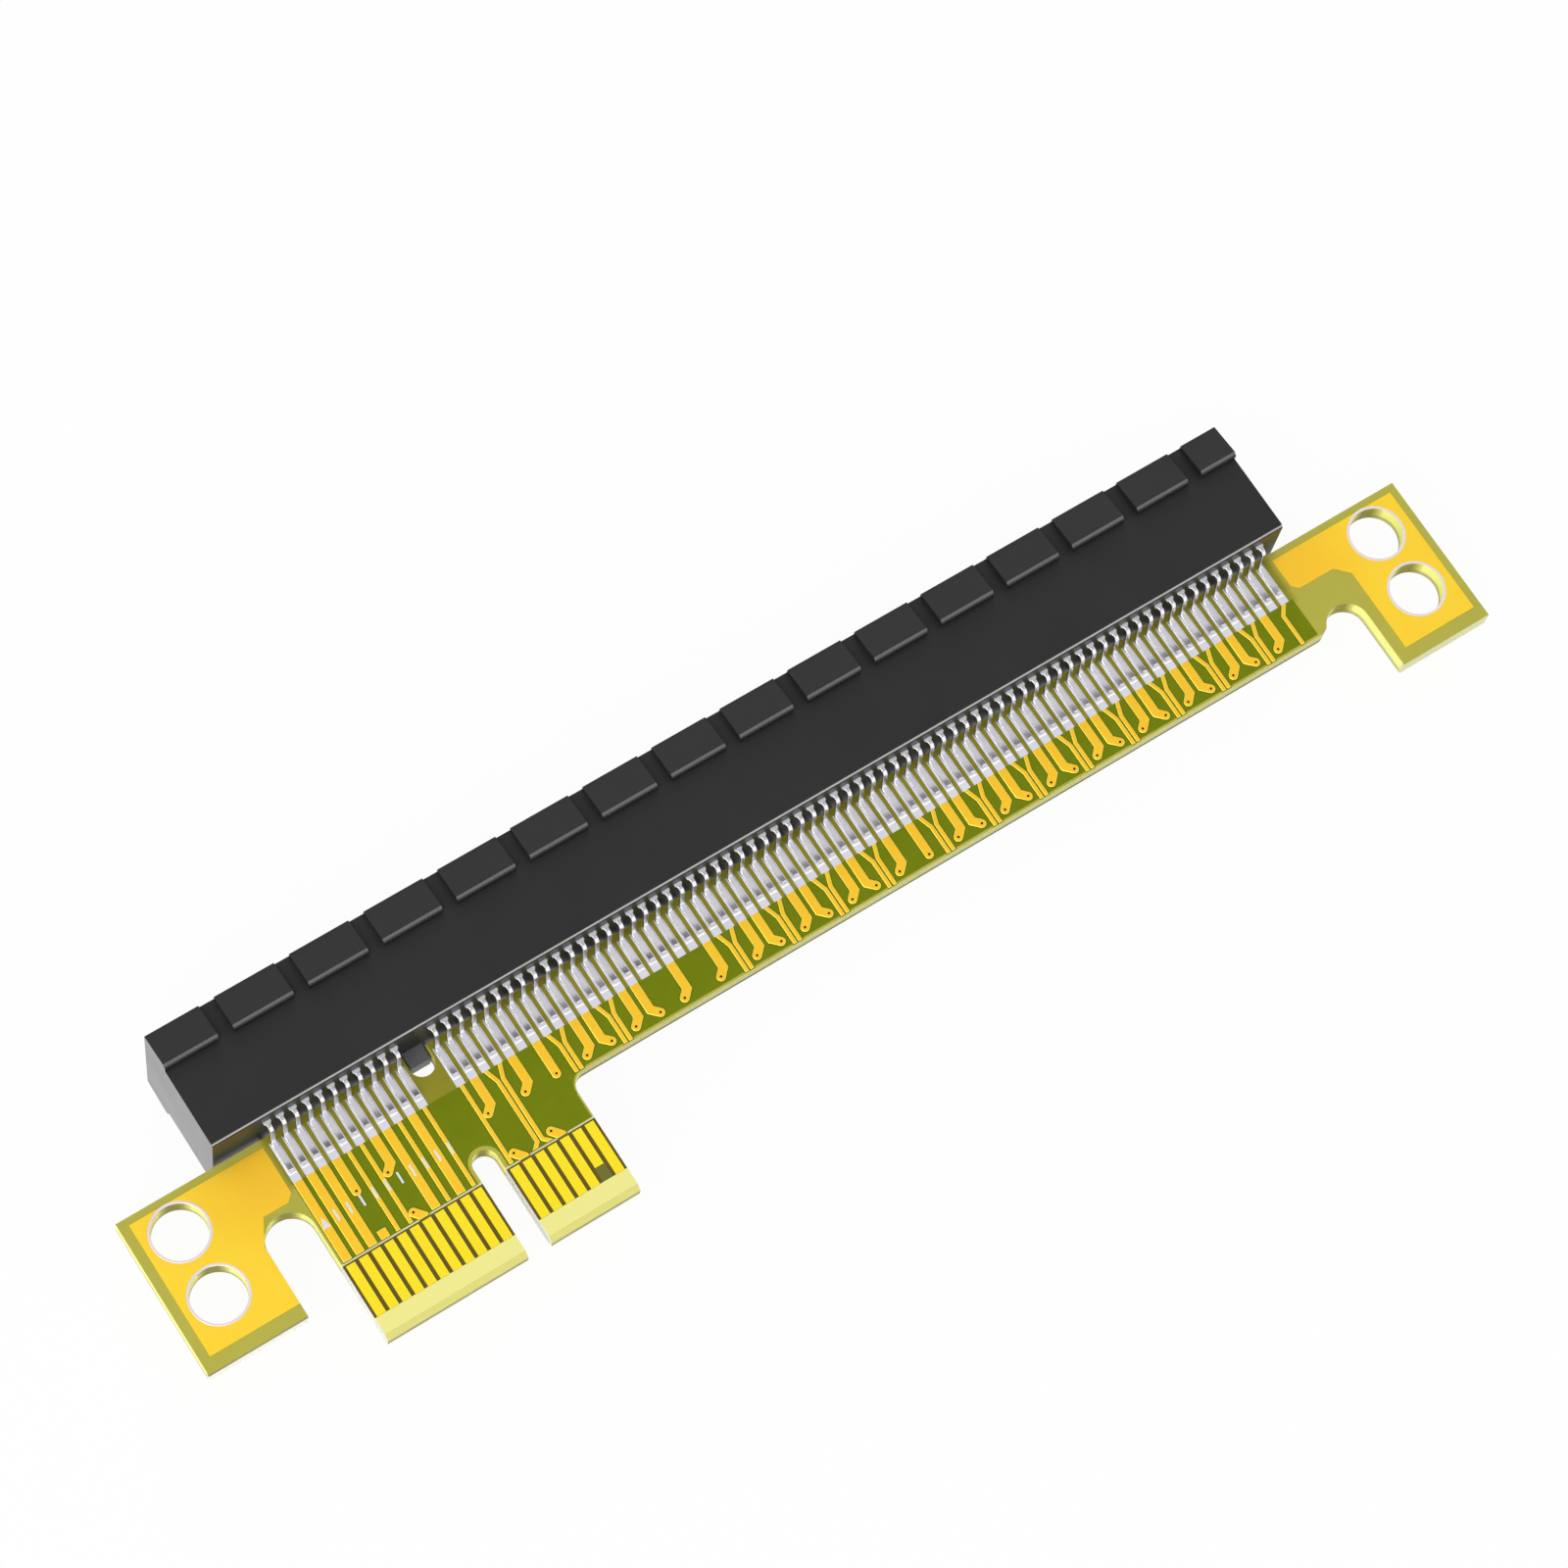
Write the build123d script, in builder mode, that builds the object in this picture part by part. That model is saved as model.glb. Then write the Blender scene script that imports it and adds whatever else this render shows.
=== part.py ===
from build123d import *

import os

# Riser card: a narrow board whose gold tongue fits a one lane slot, and whose upper edge carries a
# sixteen lane socket. X runs along the socket from pin 1, Y from the tongue's end to the socket's mouth,
# and +Z is the face of the board that shows the printed side. Lengths along X count from the centre of
# the key, along Y from the tongue's end, and heights from the board's middle plane.

# Pin rows, shared by the tongue, the copper and the socket
pin_pitch = 1.0
key_gap = 3.0
pins_before_key = 11
socket_pins = 82
tongue_pins = 18
short_pin = 17

# Board outline
board_thickness = 1.6
board_height = 16.4
strip_bottom = 9.25
ear_width = 7.7
ear_bottom = 4.2
left_slot_width = 3.7
left_slot_top = 11.2
right_slot_width = 3.3
right_slot_top = 10.5
strip_end_margin = 1.45
tongue_margin = 0.55
tongue_fillet = 1.25
strip_end_fillet = 0.85
tongue_bevel = 0.45
key_slot_width = 1.9
key_slot_top = 8.0
notch_width = 1.9
notch_depth = 2.0

# Ear holes
hole_radius = 2.0
hole_edge_distance = 3.4
hole_row_height = 8.6
hole_row_spacing = 5.08
ring_width = 0.2

# Layers on the two faces of the board
field_thickness = 0.02
copper_thickness = 0.04
pad_thickness = 0.06

# Gold fingers
finger_width = 0.7
finger_bottom = 1.75
finger_length = 4.05
short_finger_cut = 1.1
mask_bottom = 6.05

# Tinned pads
pad_width = 0.68
pad_bottom = 12.6
pad_length = 3.25

# Ear copper
copper_margin = 0.73
copper_far_margin = 0.6
copper_foot_margin = 1.05
copper_top_margin = 0.55
copper_to_pads = 0.45
copper_to_corner = 0.3
copper_slot_gap = 0.45
copper_cut = 0.5

# Traces
wide_trace = 0.68
narrow_trace = 0.27
pair_spacing = 0.4
pair_leg_reach = 0.7
pair_joint_height = 11.55
pair_splay_height = 6.6
via_height = 9.95
via_offset = 0.5
lower_via_height = 6.65
via_pad_radius = 0.36
trace_bend_rise = 0.5
stub_top = 6.85
last_trace_step = 0.75
key_ring = 0.28
field_edge = 0.15

# Socket housing
housing_depth = 8.9
housing_thickness = 9.15
housing_left_margin = 4.2
housing_right_margin = 1.85
housing_gap = 0.3
housing_chamfer = 0.25
land_length = 2.75
land_mouth_rise = 0.4
land_rise = 0.8
land_bevel = 0.28
groove_width = 1.2
first_groove = 4.8
near_groove_pitch = 5.9
near_grooves = 6
far_groove_pitch = 5.68
far_grooves = 9
card_slot_height = 1.9
card_slot_depth = 6.9
card_slot_end = 0.8
card_key_width = 1.7
cavity_width = 0.6
tab_width = 1.55
tab_height = 1.2
tab_reach = 1.3

# Contacts
contact_width = 0.42
contact_thickness = 0.2
contact_height = 3.3
contact_clearance = 0.06
contact_bite = 0.3
knee_reach = 0.65
leg_slant = 0.22
foot_length = 2.35
retention_length = 0.45
contact_tip_setback = 1.3

# Where things come to lie
front, back = 1, -1
housing_face = board_height + housing_gap
mouth = housing_face + housing_depth
housing_half = housing_thickness / 2
board_half = board_thickness / 2
slot_half = card_slot_height / 2
slot_floor = mouth - card_slot_depth
middle_height = housing_half + land_rise


def pin_x(pin):
    """Place of a pin along the socket, from the key's centre."""
    if pin > pins_before_key:
        return key_gap / 2 + (pin - pins_before_key - 1) * pin_pitch
    return -key_gap / 2 - (pins_before_key - pin) * pin_pitch


tongue_left = pin_x(1) - tongue_margin
tongue_right = pin_x(tongue_pins) + tongue_margin
ear_left_inner = tongue_left - left_slot_width
board_left = ear_left_inner - ear_width
strip_end = pin_x(socket_pins) + strip_end_margin
ear_right_inner = strip_end + right_slot_width
board_right = ear_right_inner + ear_width
board_middle = (board_left + board_right) / 2
housing_left = pin_x(1) - housing_left_margin
housing_right = pin_x(socket_pins) + housing_right_margin
card = Plane(origin=(-board_middle, -mouth / 2, middle_height))


def face_plane(side, height=0.0):
    """Plane at a height over the front or the back face of the board, always facing +Z."""
    return card.offset(side * (board_half + height))


def section_plane(x, side):
    """Plane across the socket at x: its first axis is the card's Y, its second leads out of the face."""
    return Plane(origin=card.from_local_coords((x, 0, 0)), x_dir=(0, 1, 0), z_dir=(side, 0, 0))


def place(sketch_part, name):
    """Label a finished piece and write it."""
    sketch_part.part.label = name
    export_step(sketch_part.part, f"parts/{name}.step")


def box_face(left, right, bottom, top, mode=Mode.ADD):
    """Rectangle given by its four sides."""
    with Locations(((left + right) / 2, (bottom + top) / 2)):
        Rectangle(right - left, top - bottom, mode=mode)


def round_top_slot(left, right, bottom, top, mode=Mode.SUBTRACT):
    """Slot with straight sides and a half round top."""
    radius = (right - left) / 2
    box_face(left, right, bottom, top - radius, mode)
    with Locations(((left + right) / 2, top - radius)):
        Circle(radius, mode=mode)


def hole_places():
    """Centres of the four ear holes."""
    columns = (board_left + hole_edge_distance, board_right - hole_edge_distance)
    rows = (hole_row_height, hole_row_height + hole_row_spacing)
    return [(x, y) for x in columns for y in rows]


# Pins by their job, for the names of the contacts
contact_groups = {
    "power": range(1, pins_before_key + 1),
    "first_lane": range(pins_before_key + 1, tongue_pins + 1),
    "lanes_to_four": range(19, 33),
    "lanes_to_eight": range(33, 50),
    "lanes_to_sixteen": range(50, socket_pins + 1),
}
side_names = {front: "front", back: "back"}
all_pins = range(1, socket_pins + 1)

# Copper pattern of the front: first pin of each lane pair, and how each trace leaves its pin
lane_pins = [14, 19, 23, *range(33, 46, 4), *range(50, 79, 4)]
ground_left = [7, 13, 16, 21, 25, 29, 32, *range(35, 48, 4), *range(52, 81, 4)]
ground_right = [22, 26, *range(36, 45, 4), *range(53, 78, 4)]
ground_straight = [4, 18, 49]
slanted_stubs = [7, 13, 16]
straight_stub = 4
power_wide = [1, 2, 3, 8, 10]
power_narrow = [5, 6, 9, 11, 12]


# Circuit board
with BuildPart() as circuit_board:
    with BuildSketch(card):
        box_face(board_left, board_right, strip_bottom, board_height)
        box_face(board_left, ear_left_inner, ear_bottom, board_height)
        box_face(ear_right_inner - right_slot_width / 2, board_right, ear_bottom, board_height)
        box_face(tongue_left, tongue_right, 0, board_height)
        round_top_slot(ear_left_inner, tongue_left, 0, left_slot_top)
        round_top_slot(strip_end, ear_right_inner, ear_bottom, right_slot_top)
        round_top_slot(-key_slot_width / 2, key_slot_width / 2, 0, key_slot_top)
        with Locations((0, board_height)):
            Rectangle(notch_width, 2 * notch_depth - notch_width, mode=Mode.SUBTRACT)
        with Locations((0, board_height - notch_depth + notch_width / 2)):
            Circle(notch_width / 2, mode=Mode.SUBTRACT)
        with Locations(*hole_places()):
            Circle(hole_radius, mode=Mode.SUBTRACT)
    extrude(amount=board_half, both=True)
    for x, radius in ((tongue_right, tongue_fillet), (strip_end, strip_end_fillet)):
        corner = card.from_local_coords((x, strip_bottom, 0))
        fillet(circuit_board.edges().filter_by(Axis.Z).sort_by_distance(corner)[0], radius)
    chamfer(circuit_board.edges().filter_by(Axis.X).group_by(Axis.Y)[0], length=tongue_bevel)
place(circuit_board, "circuit_board")


# Socket housing
with BuildPart() as socket_housing:
    with BuildSketch(section_plane(housing_left, front)):
        with BuildLine():
            Polyline(
                (mouth, -housing_half),
                (housing_face + housing_chamfer, -housing_half),
                (housing_face, housing_chamfer - housing_half),
                (housing_face, housing_half - housing_chamfer),
                (housing_face + housing_chamfer, housing_half),
                (mouth, housing_half),
                close=True,
            )
        make_face()
    extrude(amount=housing_right - housing_left)
    groove_centres = [housing_left + first_groove + step * near_groove_pitch for step in range(near_grooves)]
    for step in range(far_grooves):
        groove_centres.append(groove_centres[near_grooves - 1] + (step + 1) * far_groove_pitch)
    land_starts = [housing_left, *[centre + groove_width / 2 for centre in groove_centres]]
    land_ends = [*[centre - groove_width / 2 for centre in groove_centres], housing_right]
    land_foot = mouth - land_length
    for side in (front, back):
        for start, end in zip(land_starts, land_ends):
            with BuildSketch(section_plane(start, front)):
                with BuildLine():
                    Polyline(
                        (land_foot, side * housing_half),
                        (land_foot, side * (housing_half + land_rise - land_bevel)),
                        (land_foot + land_bevel, side * (housing_half + land_rise)),
                        (mouth, side * (housing_half + land_mouth_rise)),
                        (mouth, side * housing_half),
                        close=True,
                    )
                make_face()
            extrude(amount=end - start)
    slot_left = pin_x(1) - card_slot_end
    slot_right = pin_x(socket_pins) + card_slot_end
    with BuildSketch(card):
        box_face(slot_left, -card_key_width / 2, slot_floor, mouth)
        box_face(card_key_width / 2, slot_right, slot_floor, mouth)
    extrude(amount=slot_half, both=True, mode=Mode.SUBTRACT)
    slit_inside = contact_height - contact_thickness - contact_clearance
    with BuildSketch(*[section_plane(pin_x(pin), side) for pin in all_pins for side in (front, back)]):
        with BuildLine():
            Polyline(
                (housing_face, slit_inside),
                (slot_floor, slot_half),
                (mouth, slot_half),
                (mouth, contact_height),
                (housing_face, contact_height),
                close=True,
            )
        make_face()
    extrude(amount=cavity_width / 2, both=True, mode=Mode.SUBTRACT)
    with BuildSketch(card):
        box_face(-tab_width / 2, tab_width / 2, housing_face - tab_reach, housing_face)
    extrude(amount=tab_height / 2, both=True)
place(socket_housing, "socket_housing")


# Gold fingers on the tongue
def finger_row(side):
    """Fingers of one face; the one that senses the card's presence is short on the front."""
    with BuildPart() as fingers:
        with BuildSketch(face_plane(side)):
            for pin in range(1, tongue_pins + 1):
                cut = short_finger_cut if (side, pin) == (front, short_pin) else 0
                middle = pin_x(pin)
                box_face(
                    middle - finger_width / 2,
                    middle + finger_width / 2,
                    finger_bottom + cut,
                    finger_bottom + finger_length,
                )
        extrude(amount=side * copper_thickness)
    return fingers


# Tinned pads under the contacts' tails
def pad_row(side):
    """Pads of one face, one for each contact."""
    with BuildPart() as pads:
        with BuildSketch(face_plane(side)):
            with Locations(*[(pin_x(pin), pad_bottom + pad_length / 2) for pin in all_pins]):
                Rectangle(pad_width, pad_length)
        extrude(amount=side * pad_thickness)
    return pads


# Copper field of the two ears
def ear_copper(side):
    """Copper round the ear holes, cut back from the holes' tinned rims, the slots and the pads."""
    foot = ear_bottom + copper_foot_margin
    top = board_height - copper_top_margin
    left_end = pin_x(1) - pad_width / 2 - copper_to_pads
    right_start = strip_end - copper_to_corner
    with BuildPart() as copper:
        with BuildSketch(face_plane(side)):
            with BuildLine():
                Polyline(
                    (board_left + copper_margin, foot),
                    (ear_left_inner, foot),
                    (ear_left_inner, left_slot_top - left_slot_width / 2 + copper_cut),
                    (ear_left_inner + 2 * copper_cut, left_slot_top + copper_slot_gap),
                    (left_end - copper_cut, left_slot_top + copper_slot_gap),
                    (left_end, left_slot_top + copper_slot_gap + copper_cut),
                    (left_end, top),
                    (board_left + copper_margin, top),
                    close=True,
                )
            make_face()
            inner_gap = ear_right_inner + 2 * copper_slot_gap
            step = pad_bottom + copper_slot_gap
            with BuildLine():
                Polyline(
                    (board_right - copper_far_margin, foot),
                    (inner_gap, foot),
                    (inner_gap, step - 2 * copper_cut),
                    (inner_gap - 2 * copper_cut, step),
                    (right_start + copper_cut, step),
                    (right_start, step + copper_cut),
                    (right_start, top),
                    (board_right - copper_far_margin, top),
                    close=True,
                )
            make_face()
            with Locations(*hole_places()):
                Circle(hole_radius + ring_width, mode=Mode.SUBTRACT)
        extrude(amount=side * copper_thickness)
    return copper


# Ground field under the traces
def ground_field(side):
    """Dark field from the pads to the strip's lower edge and down the tongue to the fingers."""
    with BuildPart() as field:
        with BuildSketch(face_plane(side)):
            box_face(
                pin_x(1) - wide_trace / 2,
                pin_x(socket_pins) + pad_width,
                strip_bottom + field_edge,
                pad_bottom,
            )
            box_face(pin_x(1) - wide_trace / 2, tongue_right - field_edge, mask_bottom, pad_bottom)
            round_top_slot(
                -key_slot_width / 2 - key_ring, key_slot_width / 2 + key_ring, 0, key_slot_top + key_ring
            )
        extrude(amount=side * field_thickness)
    return field


# Traces of the front face
def ground_trace(pin, turn):
    """Wide trace from a pad down to its via, which lies to one side of the pin."""
    x = pin_x(pin)
    half = wide_trace / 2
    via = x + turn * via_offset
    bend = via_height + trace_bend_rise
    Polygon(
        (x - turn * half, pad_bottom),
        (x - turn * half, bend),
        (via - turn * half, via_height - via_pad_radius),
        (via + turn * half, via_height - via_pad_radius),
        (via + turn * half, bend - half),
        (x + turn * half, bend),
        (x + turn * half, pad_bottom),
        align=None,
    )


def finger_stub(pin):
    """Short slanted trace from a lower via to its finger."""
    x = pin_x(pin)
    half = wide_trace / 2
    top = lower_via_height + via_pad_radius
    via = x - via_offset
    Polygon((via - half, top), (via + half, top), (x + half, mask_bottom), (x - half, mask_bottom), align=None)


def straight_trace(pin, width, bottom, top):
    """Trace that runs straight down."""
    box_face(pin_x(pin) - width / 2, pin_x(pin) + width / 2, bottom, top)


with BuildPart() as ground_traces:
    with BuildSketch(face_plane(front, field_thickness)):
        for pin in ground_left:
            ground_trace(pin, -1)
        for pin in ground_right:
            ground_trace(pin, 1)
        for pin in ground_straight:
            straight_trace(pin, wide_trace, via_height - via_pad_radius, pad_bottom)
        for pin in slanted_stubs:
            finger_stub(pin)
        straight_trace(straight_stub, wide_trace, mask_bottom, stub_top)
    extrude(amount=copper_thickness)
place(ground_traces, "front_ground_traces")


def pair_trace(first_pin, hand):
    """One trace of a lane pair: a slanted leg from its pad, then straight down beside its twin."""
    middle = pin_x(first_pin) + pin_pitch / 2
    near = middle + hand * (pair_spacing - narrow_trace) / 2
    far = near + hand * narrow_trace
    reach = middle + hand * pair_leg_reach
    to_fingers = first_pin < tongue_pins
    end = pair_splay_height if to_fingers else strip_bottom
    Polygon(
        (reach - hand * narrow_trace, pad_bottom),
        (near, pair_joint_height),
        (near, end),
        (far, end),
        (far, pair_joint_height + narrow_trace / 2),
        (reach, pad_bottom),
        align=None,
    )
    if to_fingers:
        Polygon(
            (near, end),
            (middle + hand * (pin_pitch - narrow_trace) / 2, mask_bottom),
            (middle + hand * (pin_pitch + narrow_trace) / 2, mask_bottom),
            (far, end),
            align=None,
        )


with BuildPart() as lane_traces:
    with BuildSketch(face_plane(front, field_thickness)):
        for pin in lane_pins:
            for hand in (-1, 1):
                pair_trace(pin, hand)
    extrude(amount=copper_thickness)
place(lane_traces, "front_lane_traces")


def last_pin_trace():
    """Narrow trace of the last pin, which steps in from its pad and runs to the strip's edge."""
    right = pin_x(socket_pins)
    left = right - 2 * narrow_trace
    turn = pad_bottom - last_trace_step
    Polygon(
        (right - narrow_trace, pad_bottom),
        (left - narrow_trace, turn),
        (left - narrow_trace, strip_bottom),
        (left, strip_bottom),
        (left, turn),
        (right, pad_bottom),
        align=None,
    )


with BuildPart() as power_traces:
    with BuildSketch(face_plane(front, field_thickness)):
        for pin in power_wide:
            straight_trace(pin, wide_trace, mask_bottom, pad_bottom)
        for pin in power_narrow:
            straight_trace(pin, narrow_trace, mask_bottom, pad_bottom)
        last_pin_trace()
    extrude(amount=copper_thickness)
place(power_traces, "front_power_traces")


# Contacts
def contact_row(pins, side):
    """Strip contacts: foot on the pad, leg over the board's edge, body in the housing, beam to the slot."""
    thickness = contact_thickness
    foot_underside = board_half + pad_thickness
    knee = housing_face - knee_reach
    heel = knee - leg_slant
    rest = slot_floor + retention_length
    tip = mouth - contact_tip_setback
    tip_underside = slot_half - contact_bite
    with BuildPart() as row:
        with BuildSketch(*[section_plane(pin_x(pin), side) for pin in pins]):
            with BuildLine():
                Polyline(
                    (heel - foot_length, foot_underside),
                    (heel, foot_underside + thickness),
                    (knee, contact_height),
                    (rest, contact_height),
                    (tip, tip_underside),
                    (rest, contact_height - thickness),
                    (knee + thickness, contact_height - thickness),
                    (heel + thickness, foot_underside),
                    close=True,
                )
            make_face()
        extrude(amount=contact_width / 2, both=True)
    return row


for side in (front, back):
    place(finger_row(side), f"{side_names[side]}_fingers")
    place(pad_row(side), f"{side_names[side]}_pads")
    place(ear_copper(side), f"{side_names[side]}_ear_copper")
    place(ground_field(side), f"{side_names[side]}_ground_field")
    for group, pins in contact_groups.items():
        place(contact_row(pins, side), f"{side_names[side]}_contacts_{group}")
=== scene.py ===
"""Dresses the riser card with its laminate, copper, gold, tin and black plastic."""

import sys
import logging
import math
from collections.abc import Callable, Iterable
from dataclasses import dataclass, field
from enum import Enum

import bmesh
import bpy
from mathutils import Matrix, Vector


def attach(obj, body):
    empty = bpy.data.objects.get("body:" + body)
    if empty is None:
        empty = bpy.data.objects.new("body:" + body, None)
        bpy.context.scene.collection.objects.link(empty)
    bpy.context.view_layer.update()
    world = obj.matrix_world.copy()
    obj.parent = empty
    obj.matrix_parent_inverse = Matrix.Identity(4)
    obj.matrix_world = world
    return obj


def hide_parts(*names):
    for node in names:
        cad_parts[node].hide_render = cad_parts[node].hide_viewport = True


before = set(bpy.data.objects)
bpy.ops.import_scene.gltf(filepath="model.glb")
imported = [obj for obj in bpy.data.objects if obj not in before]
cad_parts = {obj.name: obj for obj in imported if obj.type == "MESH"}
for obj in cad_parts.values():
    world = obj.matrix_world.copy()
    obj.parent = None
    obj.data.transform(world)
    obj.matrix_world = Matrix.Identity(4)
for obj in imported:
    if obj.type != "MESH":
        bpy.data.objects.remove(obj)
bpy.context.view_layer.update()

log = logging.getLogger("riser_card")

# New pieces are drawn in millimetres in the card's own drawing: X from the key's
# centre, Y from the tongue's end, Z from the board's middle plane. One matrix then
# takes them to the frame, in metres.
MILLIMETRE = 0.001
CARD_ORIGIN = Vector((-30.25, -12.8, 5.375))
CARD_TO_FRAME = Matrix.Scale(MILLIMETRE, 4) @ Matrix.Translation(CARD_ORIGIN)

# Distance, in millimetres, within which a corner or an edge is the one that is meant
CORNER_REACH = 0.002

# Greatest angle, in degrees, between faces of a new piece that are shaded as one
SMOOTH_TO = 30.0

# Distance between the strands of the glass cloth, in millimetres
GLASS_PITCH = 0.5

Colour = tuple[float, float, float, float]


class Pick(Enum):
    """What an edit works on."""

    CORNERS = "VERT"
    EDGES = "EDGE"
    FACES = "FACE"


class Side(Enum):
    """The two faces of the board."""

    FRONT = 1
    BACK = -1

    @property
    def word(self) -> str:
        """Name of the side as the nodes spell it."""
        return self.name.lower()

    @property
    def turn(self) -> Matrix:
        """Matrix that takes a shape drawn on the front to this side."""
        return Matrix.Diagonal((1.0, 1.0, float(self.value), 1.0))


def tone(red: int, green: int, blue: int) -> Colour:
    """Linear colour of a shade as it looks on a screen.

    Args:
        red: Red from 0 to 255.
        green: Green from 0 to 255.
        blue: Blue from 0 to 255.

    Returns:
        The colour as a shader takes it, opaque.
    """
    linear = []
    for channel in (red, green, blue):
        share = channel / 255
        curved = ((share + 0.055) / 1.055) ** 2.4
        linear.append(share / 12.92 if share <= 0.04045 else curved)
    return (*linear, 1.0)


# Modelling by hand, in edit mode


def start_sheet(
    name: str, left: float, right: float, bottom: float, top: float, height: float
) -> bpy.types.Object:
    """Add a flat sheet and open it for editing.

    Args:
        name: Name of the piece.
        left: Lowest X in millimetres.
        right: Highest X in millimetres.
        bottom: Lowest Y in millimetres.
        top: Highest Y in millimetres.
        height: Z in millimetres.

    Returns:
        The sheet, in edit mode.
    """
    bpy.ops.object.select_all(action="DESELECT")
    centre = ((left + right) / 2, (bottom + top) / 2, height)
    bpy.ops.mesh.primitive_plane_add(size=1.0, location=centre)
    bpy.ops.transform.resize(value=(right - left, top - bottom, 1.0))
    bpy.ops.object.transform_apply(location=True, rotation=True, scale=True)
    part = bpy.context.active_object
    part.name = name
    part.data.name = name
    bpy.ops.object.mode_set(mode="EDIT")
    return part


def choose(part: bpy.types.Object, pick: Pick, test: Callable[[Vector], bool]) -> None:
    """Select the corners, edges or faces whose middle passes a test.

    Args:
        part: Piece in edit mode.
        pick: What is selected.
        test: Says whether a middle point is wanted.
    """
    bpy.ops.mesh.select_mode(type=pick.value)
    bpy.ops.mesh.select_all(action="DESELECT")
    shape = bmesh.from_edit_mesh(part.data)
    if pick is Pick.CORNERS:
        for corner in shape.verts:
            corner.select_set(test(corner.co))
    elif pick is Pick.EDGES:
        for edge in shape.edges:
            edge.select_set(test((edge.verts[0].co + edge.verts[1].co) / 2))
    else:
        for face in shape.faces:
            face.select_set(test(face.calc_center_median()))
    shape.select_flush_mode()
    bmesh.update_edit_mesh(part.data)


def near(point: Vector, reach: float) -> Callable[[Vector], bool]:
    """Test for what lies within a reach of a point.

    Args:
        point: The point, in millimetres.
        reach: Greatest distance from it.

    Returns:
        The test, for choose().
    """
    return lambda middle: (middle - point).length < reach


def extrude(step: Vector) -> None:
    """Extrude what is selected by a step in millimetres."""
    bpy.ops.mesh.extrude_region_move(TRANSFORM_OT_translate={"value": tuple(step)})


def shift_corner(part: bpy.types.Object, start: Vector, goal: Vector) -> None:
    """Move the corners at one point to another.

    Args:
        part: Piece in edit mode.
        start: Where the corners are.
        goal: Where they go.
    """
    choose(part, Pick.CORNERS, near(start, CORNER_REACH))
    bpy.ops.transform.translate(value=tuple(goal - start))


def paint_selected(part: bpy.types.Object, index: int) -> None:
    """Give the selected faces a material slot of their piece."""
    part.active_material_index = index
    bpy.ops.object.material_slot_assign()


def close_edit(part: bpy.types.Object) -> None:
    """Turn all faces outwards and leave edit mode.

    Args:
        part: Piece in edit mode.
    """
    bpy.ops.mesh.select_mode(type="FACE")
    bpy.ops.mesh.select_all(action="SELECT")
    bpy.ops.mesh.normals_make_consistent(inside=False)
    bpy.ops.object.mode_set(mode="OBJECT")


def apply_modifiers(part: bpy.types.Object) -> None:
    """Apply a piece's modifiers in their order."""
    bpy.context.view_layer.objects.active = part
    for modifier in list(part.modifiers):
        bpy.ops.object.modifier_apply(modifier=modifier.name)


def lay_out(
    name: str, copies: Iterable[tuple[bpy.types.Object, Matrix]]
) -> bpy.types.Object:
    """Copy modelled shapes to their places and join the copies in one piece.

    Args:
        name: Name of the new piece.
        copies: Each shape with the matrix that takes it to its place, in millimetres.

    Returns:
        The piece in the frame, with its place in its mesh.
    """
    bpy.ops.object.select_all(action="DESELECT")
    made = []
    for pattern, move in copies:
        copy = pattern.copy()
        copy.data = pattern.data.copy()
        bpy.context.scene.collection.objects.link(copy)
        copy.data.transform(CARD_TO_FRAME @ move)
        if move.determinant() < 0:
            copy.data.flip_normals()
        copy.select_set(True)
        made.append(copy)
    bpy.context.view_layer.objects.active = made[0]
    bpy.ops.object.join()
    piece = bpy.context.active_object
    piece.name = name
    piece.data.name = name
    bpy.ops.object.shade_smooth_by_angle(angle=math.radians(SMOOTH_TO))
    return piece


def remove_patterns(patterns: Iterable[bpy.types.Object]) -> None:
    """Delete the shapes that were only there to be copied."""
    for pattern in patterns:
        bpy.data.objects.remove(pattern)


def hand_in(piece: bpy.types.Object, slot: str, *nodes: str) -> None:
    """Register a piece with the frame and report it.

    Args:
        piece: The finished piece.
        slot: Not used.
        nodes: Solids that it stands for.
    """
    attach(piece, "root")
    if nodes:
        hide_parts(*nodes)
    count = len(piece.data.polygons)
    log.info("%s: %d faces, stands for %s", piece.name, count, nodes or "nothing")


# Node trees


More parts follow.
